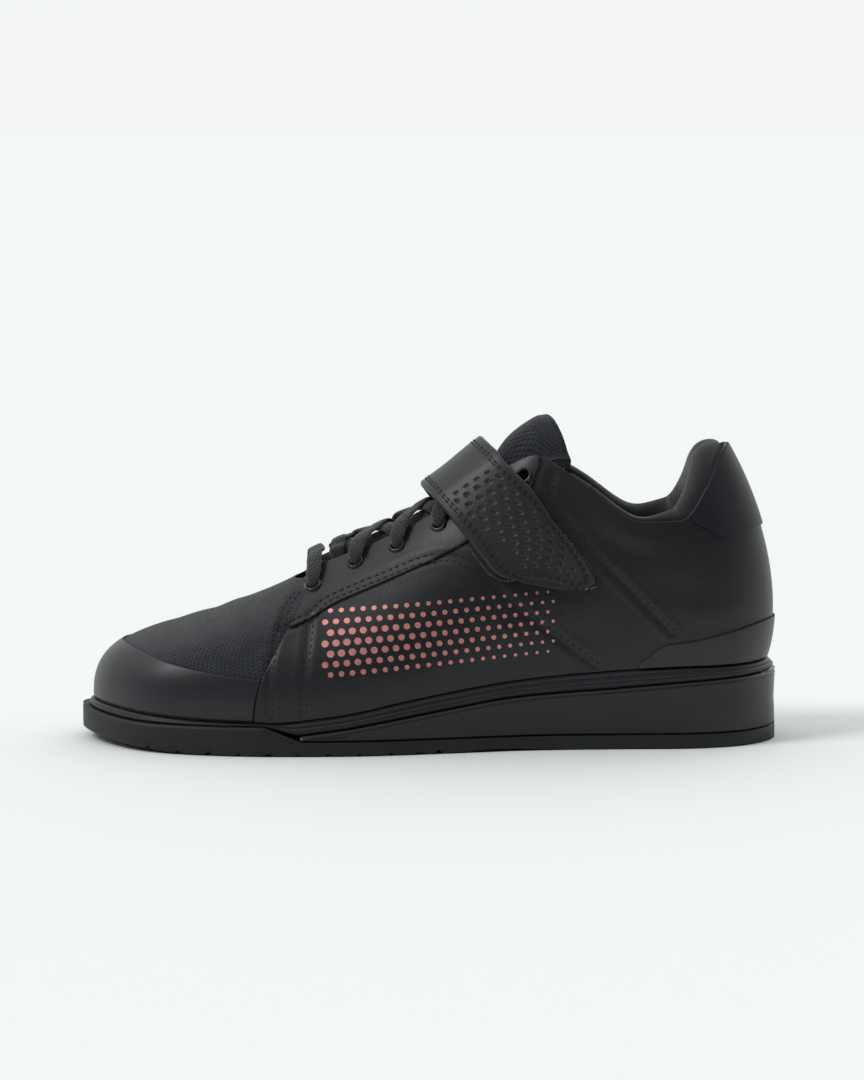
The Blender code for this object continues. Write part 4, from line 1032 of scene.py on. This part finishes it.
def collarPlace(u, v):
    # u goes round the ankle, v round the roll's section: down the wall side, over the edge, down inside
    front = angleOf(0.70)
    turn = front + (full - 2 * front) * u
    angle = np.minimum(turn, full - turn)
    share = (1 - np.cos(angle)) / 2
    fromEnd = np.minimum(u, 1 - u)
    fade = np.minimum(1.0, 0.35 + 0.65 * fromEnd / 0.11)
    towardsHeel = np.clip((share - 0.84) / 0.10, 0.0, 1.0)
    thick = (collar["padding"] + (collar["heelPadding"] - collar["padding"]) * towardsHeel) * fade
    roll = collar["roll"] * np.minimum(1.0, 0.25 + 0.75 * fromEnd / 0.17)
    raised = np.clip((share - 0.82) / 0.06, 0, 1) * np.minimum(1.0, (math.pi - angle) / 0.35)
    roll = roll + collar["heelRoll"] * raised
    seat = collar["seat"]
    edge, out = loopSpot(turn, np.full_like(turn, 1.0))
    ahead, _ = loopSpot(turn + 0.04, np.full_like(turn, 1.0))
    behind, _ = loopSpot(turn - 0.04, np.full_like(turn, 1.0))
    away = np.cross(out, ahead - behind)
    away = unit(away * np.sign(away[:, 2:3]))
    walls = [loopSpot(turn, np.full_like(turn, height)) for height in collarHeights]
    profile = [place - normal * seat for place, normal in walls]
    profile.append(edge - out * seat)
    profile.append(edge - out * (seat * 0.75) + away * (0.00045 + roll * 0.45)[:, None])
    profile.append(edge - out * (seat + thick * 0.35)[:, None] + away * roll[:, None])
    profile.append(edge - out * (seat + thick * 0.95)[:, None] + away * (roll * 0.35)[:, None])
    for (place, normal), fullness in zip(reversed(walls), (1.05, 0.9, 0.55, 0.2)):
        profile.append(place - normal * (seat + thick * fullness)[:, None])
    profile.append(profile[0])
    profile = np.array(profile)
    index = np.rint(v * (len(profile) - 1)).astype(int)
    return profile[index, np.arange(len(u))]


collarMesh = gridMesh(90, 12, collarPlace, (0.26, 0.12))
merge(collarMesh)
bmesh.ops.holes_fill(collarMesh, edges=[e for e in collarMesh.edges if e.is_boundary], sides=0)
outward(collarMesh)
collarPiece = finished(collarMesh, "collar_padding", liningKnit)
subdivide(collarPiece, 2)
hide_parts("collar_lining")
print("collar made")


# Laces: one flat braid that goes down through the eyelets and crosses over the tongue

lace = {"width": 0.0068, "thickness": 0.0017, "rest": 0.0041, "ring": 12}


def laceMesh(bm, knots, steps):
    # knots: angle, girth, lift above the wall, width share
    knots = np.array(knots, float)
    t = np.arange(len(knots))
    fine = np.linspace(0, len(knots) - 1, steps)
    angle, girth, lift, wide = (smoothCurve(t, knots[:, k])(fine) for k in range(4))
    points = bodyPoint(angle, girth)
    normals = bodyNormal(angle, girth)
    points = points + normals * lift[:, None]
    ahead = unit(np.gradient(points, axis=0))
    across = unit(np.cross(ahead, normals))
    level = np.cross(across, ahead)
    runs = np.concatenate(([0.0], np.cumsum(np.linalg.norm(np.diff(points, axis=0), axis=1))))
    made = gridMesh(steps - 1, lace["ring"], lambda u, v: lacePlace(u, v, points, across, level, wide, steps),
                    (runs[-1], 0.017))
    merge(made)
    mesh = bpy.data.meshes.new("lace part")
    made.to_mesh(mesh)
    made.free()
    bm.from_mesh(mesh)
    bpy.data.meshes.remove(mesh)


def lacePlace(u, v, points, across, level, wide, steps):
    # a flat rounded ring at each step; where the lace narrows it bunches up and gets thicker
    i = np.rint(u * (steps - 1)).astype(int)
    turn = 2 * math.pi * v
    flat = np.sign(np.cos(turn)) * abs(np.cos(turn)) ** 0.7 * lace["width"] / 2 * wide[i]
    deep = np.sign(np.sin(turn)) * abs(np.sin(turn)) ** 0.8 * lace["thickness"] / 2 * (1 + 0.9 * (1 - wide[i]))
    return points[i] - across[i] * flat[:, None] + level[i] * deep[:, None]


spots = {(s, n): (angle, girth) for s, n, angle, girth in places}
rest = lace["rest"]


def laceParts(number):
    # a crossing from one eyelet to the next one up on the other side
    bm = bmesh.new()
    for side, middle in ((-1, 0.0023), (1, 0.0008)):
        angle, girth = spots[side, number]
        endAngle, _ = spots[-side, number + 1]
        dive = 0.78 * shoe["throatGirth"]
        start = [(angle, girth, -0.0030, 0.55), (angle, girth, 0.0010, 0.6)]
        if number == 1:
            angle = angle * 0.42 + spots[side, 2][0] * 0.58
            girth = side * dive
            start = [(angle, girth * 1.15, -0.0014, 0.8)]
        path = start
        for t, lift in ((0.06, rest * 0.9), (0.16, rest), (0.3, (rest * 2 + middle) / 3), (0.5, middle), (0.7, middle),
                        (0.86, 0.0006), (1.0, -0.0012)):
            a = angle + (endAngle - 0.01 - angle) * t
            g = girth + (-side * dive - girth) * t
            path.append((a, g, lift if number > 1 or t > 0.2 else 0.0022, 1.0))
        laceMesh(bm, path, 90)
    return bm


outerBar, innerBar = spots[-1, 1], spots[1, 1]
barKnots = [(outerBar[0], outerBar[1], -0.0030, 0.55), (outerBar[0], outerBar[1] * 0.99, 0.0010, 0.6)]
for t, lift in ((0.08, rest * 0.9), (0.25, rest), (0.42, 0.0018), (0.5, 0.0015), (0.58, 0.0018), (0.75, rest),
                (0.92, rest * 0.9)):
    angle, girth = (outerBar[k] + (innerBar[k] - outerBar[k]) * t for k in (0, 1))
    barKnots.append((angle, girth, lift, 1.0))
barKnots += [(innerBar[0], innerBar[1] * 0.99, 0.0010, 0.6), (innerBar[0], innerBar[1], -0.0030, 0.55)]
barMesh = bmesh.new()
laceMesh(barMesh, barKnots, 120)
bar = finished(barMesh, "lace_bar_braid", laceBraid)
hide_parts("lace_bar")
for number in range(1, eyelets["count"] - 1):
    crossing = finished(laceParts(number), "lace_crossing_braid_%d" % number, laceBraid)
    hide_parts("lace_crossing_%d" % number)
print("laces made")


# Strap: from its tip on the outer side, over the instep, to its sewn end

strap = {"lift": 0.0125, "thickness": 0.0026, "edge": 0.0010, "columns": 84, "rows": 330, "pad": 0.0010,
         "dimple": 0.00075, "dimpleRadius": 1.12, "pitchAlong": 4.4, "pitchAcross": 5.0, "margin": 6.2,
         "dimplesFrom": 8.0, "dimplesTo": 57.0, "bulge": 0.030, "stitchInsets": (3.4, 4.7),
         "padGirths": (-0.688, -0.505)}
# girth, front and rear edge as shares of the length, front and rear lift
strapRows = (
    (-0.700, 0.624, 0.706, 0.25, 0.25), (-0.684, 0.608, 0.722, 0.25, 0.25), (-0.650, 0.590, 0.735, 0.25, 0.25),
    (-0.600, 0.577, 0.724, 0.28, 0.26), (-0.500, 0.557, 0.672, 0.36, 0.30), (-0.380, 0.537, 0.636, 0.52, 0.42),
    (-0.240, 0.517, 0.612, 0.66, 0.66), (-0.120, 0.508, 0.602, 0.69, 0.84), (0.000, 0.504, 0.598, 0.70, 0.90),
    (0.120, 0.504, 0.597, 0.69, 0.78), (0.240, 0.508, 0.600, 0.66, 0.58), (0.380, 0.522, 0.610, 0.58, 0.40),
    (0.500, 0.534, 0.622, 0.40, 0.30), (0.640, 0.542, 0.634, 0.26, 0.26), (0.780, 0.554, 0.646, 0.24, 0.24),
)
strapKnots = column(strapRows, 0)
strapFront, strapRear, frontLift, rearLift = (smoothCurve(strapKnots, column(strapRows, k)) for k in (1, 2, 3, 4))


def strapSpot(girth, t, trim=0.0, share=1.0):
    # t runs from the front to the rear edge; the free end's lower edge is full in its middle
    reach = np.clip((-0.59 - girth) / 0.11, 0.0, 1.0) ** 1.5
    girth = girth - strap["bulge"] * reach * (3.4 * t * (1 - t) + 0.3 * t)
    front = toeX + strapFront(girth) * shoe["soleLength"] + trim
    rear = toeX + strapRear(girth) * shoe["soleLength"] - trim
    angle = bodyAt(front + (rear - front) * t, girth)
    normal = bodyNormal(angle, girth)
    lift = (frontLift(girth) * (1 - t) + rearLift(girth) * t) * strap["lift"] * share
    return bodyPoint(angle, girth) + normal * lift[:, None], normal


# a coarse table of the strap's middle surface, read between its knots
tableGirths = np.concatenate((np.linspace(-0.700, -0.650, 8)[:-1], np.linspace(-0.650, 0.780, 74)))
tableShares = np.linspace(0, 1, 15)
girthGrid, shareGrid = np.meshgrid(tableGirths, tableShares, indexing="ij")
tablePoints, tableNormals = strapSpot(girthGrid.ravel(), shareGrid.ravel())
tablePoints = tablePoints.reshape(girthGrid.shape + (3,))
tableNormals = tableNormals.reshape(girthGrid.shape + (3,))


def strapRead(girth, t):
    # places and normals between the table's knots
    g = np.interp(girth, tableGirths, np.arange(len(tableGirths)))
    s = t * (len(tableShares) - 1)
    i, j = np.minimum(g.astype(int), len(tableGirths) - 2), np.minimum(s.astype(int), len(tableShares) - 2)
    a, b = (g - i)[:, None], (s - j)[:, None]
    found = []
    for grid in (tablePoints, tableNormals):
        near = (1 - b) * grid[i, j] + b * grid[i, j + 1]
        far = (1 - b) * grid[i + 1, j] + b * grid[i + 1, j + 1]
        found.append((1 - a) * near + a * far)
    return found[0], unit(found[1])


strapLengths = np.concatenate(([0.0], np.cumsum(np.linalg.norm(np.diff(tablePoints[:, 7], axis=0), axis=1))))


def strapOuter(u, v):
    # v along the strap by real length, u across it; returns places, normals and millimetres along and across
    girth = np.interp(v * strapLengths[-1], strapLengths, tableGirths)
    points, normals = strapRead(girth, u)
    wide = np.interp(girth, tableGirths, np.linalg.norm(tablePoints[:, -1] - tablePoints[:, 0], axis=1)) * 1000
    return points, normals, v * strapLengths[-1] * 1000, u * wide, wide


def strapFace(u, v):
    points, normals, along, across, wide = strapOuter(u, v)
    end = strapLengths[-1] * 1000
    rim = np.minimum(np.minimum(across, wide - across), np.minimum(along + 1.2, end - along))
    drop = strap["edge"] * (1 - np.clip(rim / 1.3, 0, 1)) ** 2
    near = np.minimum(np.minimum(across, wide - across), along + 1.5)
    welt = 0.22 * np.exp(-((near - 4.0) / 0.9) ** 2) + 0.1 * np.exp(-((near - 2.4) / 0.6) ** 2)
    # round dimples in staggered rows over the outer part
    pitchAlong, pitchAcross = strap["pitchAlong"], strap["pitchAcross"]
    row = np.rint(along / pitchAlong)
    centre = (across - wide / 2) / pitchAcross - 0.5 * (row % 2)
    offAcross = (centre - np.rint(centre)) * pitchAcross
    offAlong = along - row * pitchAlong
    inField = (near > strap["margin"]) & (abs(np.rint(centre)) < 3)
    inField &= (along > strap["dimplesFrom"]) & (along < strap["dimplesTo"])
    off = np.hypot(offAcross, offAlong) / strap["dimpleRadius"]
    lip = 0.00008 * np.exp(-((off - 1.5) / 0.4) ** 2)
    pit = np.where(inField, np.exp(-off ** 4) * strap["dimple"] - lip, 0.0)
    return points + normals * (strap["thickness"] / 2 - drop - welt / 1000 - pit)[:, None]


strapGrid = gridMesh(strap["columns"], strap["rows"], strapFace, (0.04, 0.2))
strapPiece = finished(strapGrid, "instep_strap", strapLeather)
thicken(strapPiece, strap["thickness"] * 0.95, edgeLeather)
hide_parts("strap")


def strapThreads():
    bm = bmesh.new()
    n = 260
    for inset in strap["stitchInsets"]:
        # along the rear edge, round the tip and back along the front edge
        v = np.linspace(0.97, 0.0, n)
        frontU = inset / strapOuter(np.zeros(n), v)[4]
        rearU = 1 - frontU
        tipV = (inset + 0.5) / (strapLengths[-1] * 1000)
        keep = v > tipV
        rear = np.stack([rearU[keep], v[keep]], -1)
        front = np.stack([frontU[keep], v[keep]], -1)[::-1]
        tip = np.stack([np.linspace(rear[-1, 0], front[0, 0], 40), np.full(40, tipV)], -1)
        path = np.concatenate((rear, tip, front))
        points, normals, _, _, _ = strapOuter(path[:, 0], path[:, 1])
        stitchRow(bm, points + normals * (strap["thickness"] / 2 - 0.00012), normals, 0.0)
    return bm


strapSewing = finished(strapThreads(), "strap_threads", threadWithPaintedShade)


def padPlace(u, v):
    low, high = strap["padGirths"]
    girth = low + (high - low) * v
    points, normals = strapSpot(girth, u, -0.0012, 0.0)
    fuzz = 0.00025 * np.sin(u * 190 + v * 40) * np.sin(v * 170 + u * 23)
    return points + normals * (0.00045 + strap["pad"] + fuzz)[:, None]


padPiece = finished(gridMesh(90, 70, padPlace, (0.045, 0.03)), "strap_pile", pileCloth)
thicken(padPiece, strap["pad"])
roundEdges(padPiece, 0.0003)
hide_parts("strap_pad")
print("strap made")


# Floor, light and camera

studio = {"floor": "f3f5f5", "dim": 0.05, "bright": 1.0}
floorMesh = bmesh.new()
bmesh.ops.create_grid(floorMesh, x_segments=2, y_segments=2, size=6.0)
floor = bpy.data.meshes.new("floor")
floorMesh.to_mesh(floor)
floorMesh.free()
floorObject = bpy.data.objects.new("studio_floor", floor)
bpy.context.scene.collection.objects.link(floorObject)
floorPaint, _, floorShader = newMaterial("matt white paper", 0.9)
floorShader.inputs["Base Color"].default_value = linear(studio["floor"])
floor.materials.append(floorPaint)

world = bpy.data.worlds.new("studio")
bpy.context.scene.world = world
world.use_nodes = True
tent = world.node_tree
backdrop = tent.nodes["Background"]
# a light tent: bright behind and above the shoe, dim on the side that faces the lens
direction = addNode(tent, "ShaderNodeTexCoord").outputs["Generated"]
toBack = addNode(tent, "ShaderNodeVectorMath", {"operation": "DOT_PRODUCT", 1: (0.0, 0.9, 0.75)}, {0: direction})
glow = addNode(tent, "ShaderNodeMapRange", {"From Min": -0.40, "From Max": 0.75, "To Min": studio["dim"],
               "To Max": studio["bright"], "interpolation_type": "SMOOTHSTEP"}, {"Value": toBack.outputs["Value"]})
tent.links.new(glow.outputs["Result"], backdrop.inputs["Strength"])
backdrop.inputs["Color"].default_value = linear("f4f6f6")

lamps = (
    # kind, direction that the light comes from, strength, softness in degrees
    ("key", (-0.62, -0.30, 0.72), 1.24, 20),
    ("rim", (0.35, 0.75, 0.55), 0.3, 50),
)
for name, source, strength, softness in lamps:
    lamp = bpy.data.lights.new(name, "SUN")
    lamp.energy = strength
    lamp.angle = math.radians(softness)
    beam = bpy.data.objects.new(name, lamp)
    beam.location = source
    beam.rotation_mode = "QUATERNION"
    beam.rotation_quaternion = Vector(source).to_track_quat("Z", "Y")
    bpy.context.scene.collection.objects.link(beam)

bpy.context.scene.view_settings.view_transform = "Standard"
view = {"distance": 2.1, "elevation": 7.0, "yaw": 1.0, "aim": (0.0013, 0.0, 0.0835), "lens": 166.7}
lens = bpy.data.cameras.new("camera")
lens.lens = view["lens"]
lens.sensor_width = 36.0
lens.sensor_fit = "AUTO"
lens.dof.use_dof = False
camera = bpy.data.objects.new("camera", lens)
up, yaw = math.radians(view["elevation"]), math.radians(view["yaw"])
back = Vector((-math.sin(yaw) * math.cos(up), -math.cos(yaw) * math.cos(up), math.sin(up)))
camera.location = Vector(view["aim"]) + back * view["distance"]
camera.rotation_mode = "QUATERNION"
camera.rotation_quaternion = (-back).to_track_quat("-Z", "Y")
bpy.context.scene.collection.objects.link(camera)
bpy.context.scene.camera = camera
print("studio made")
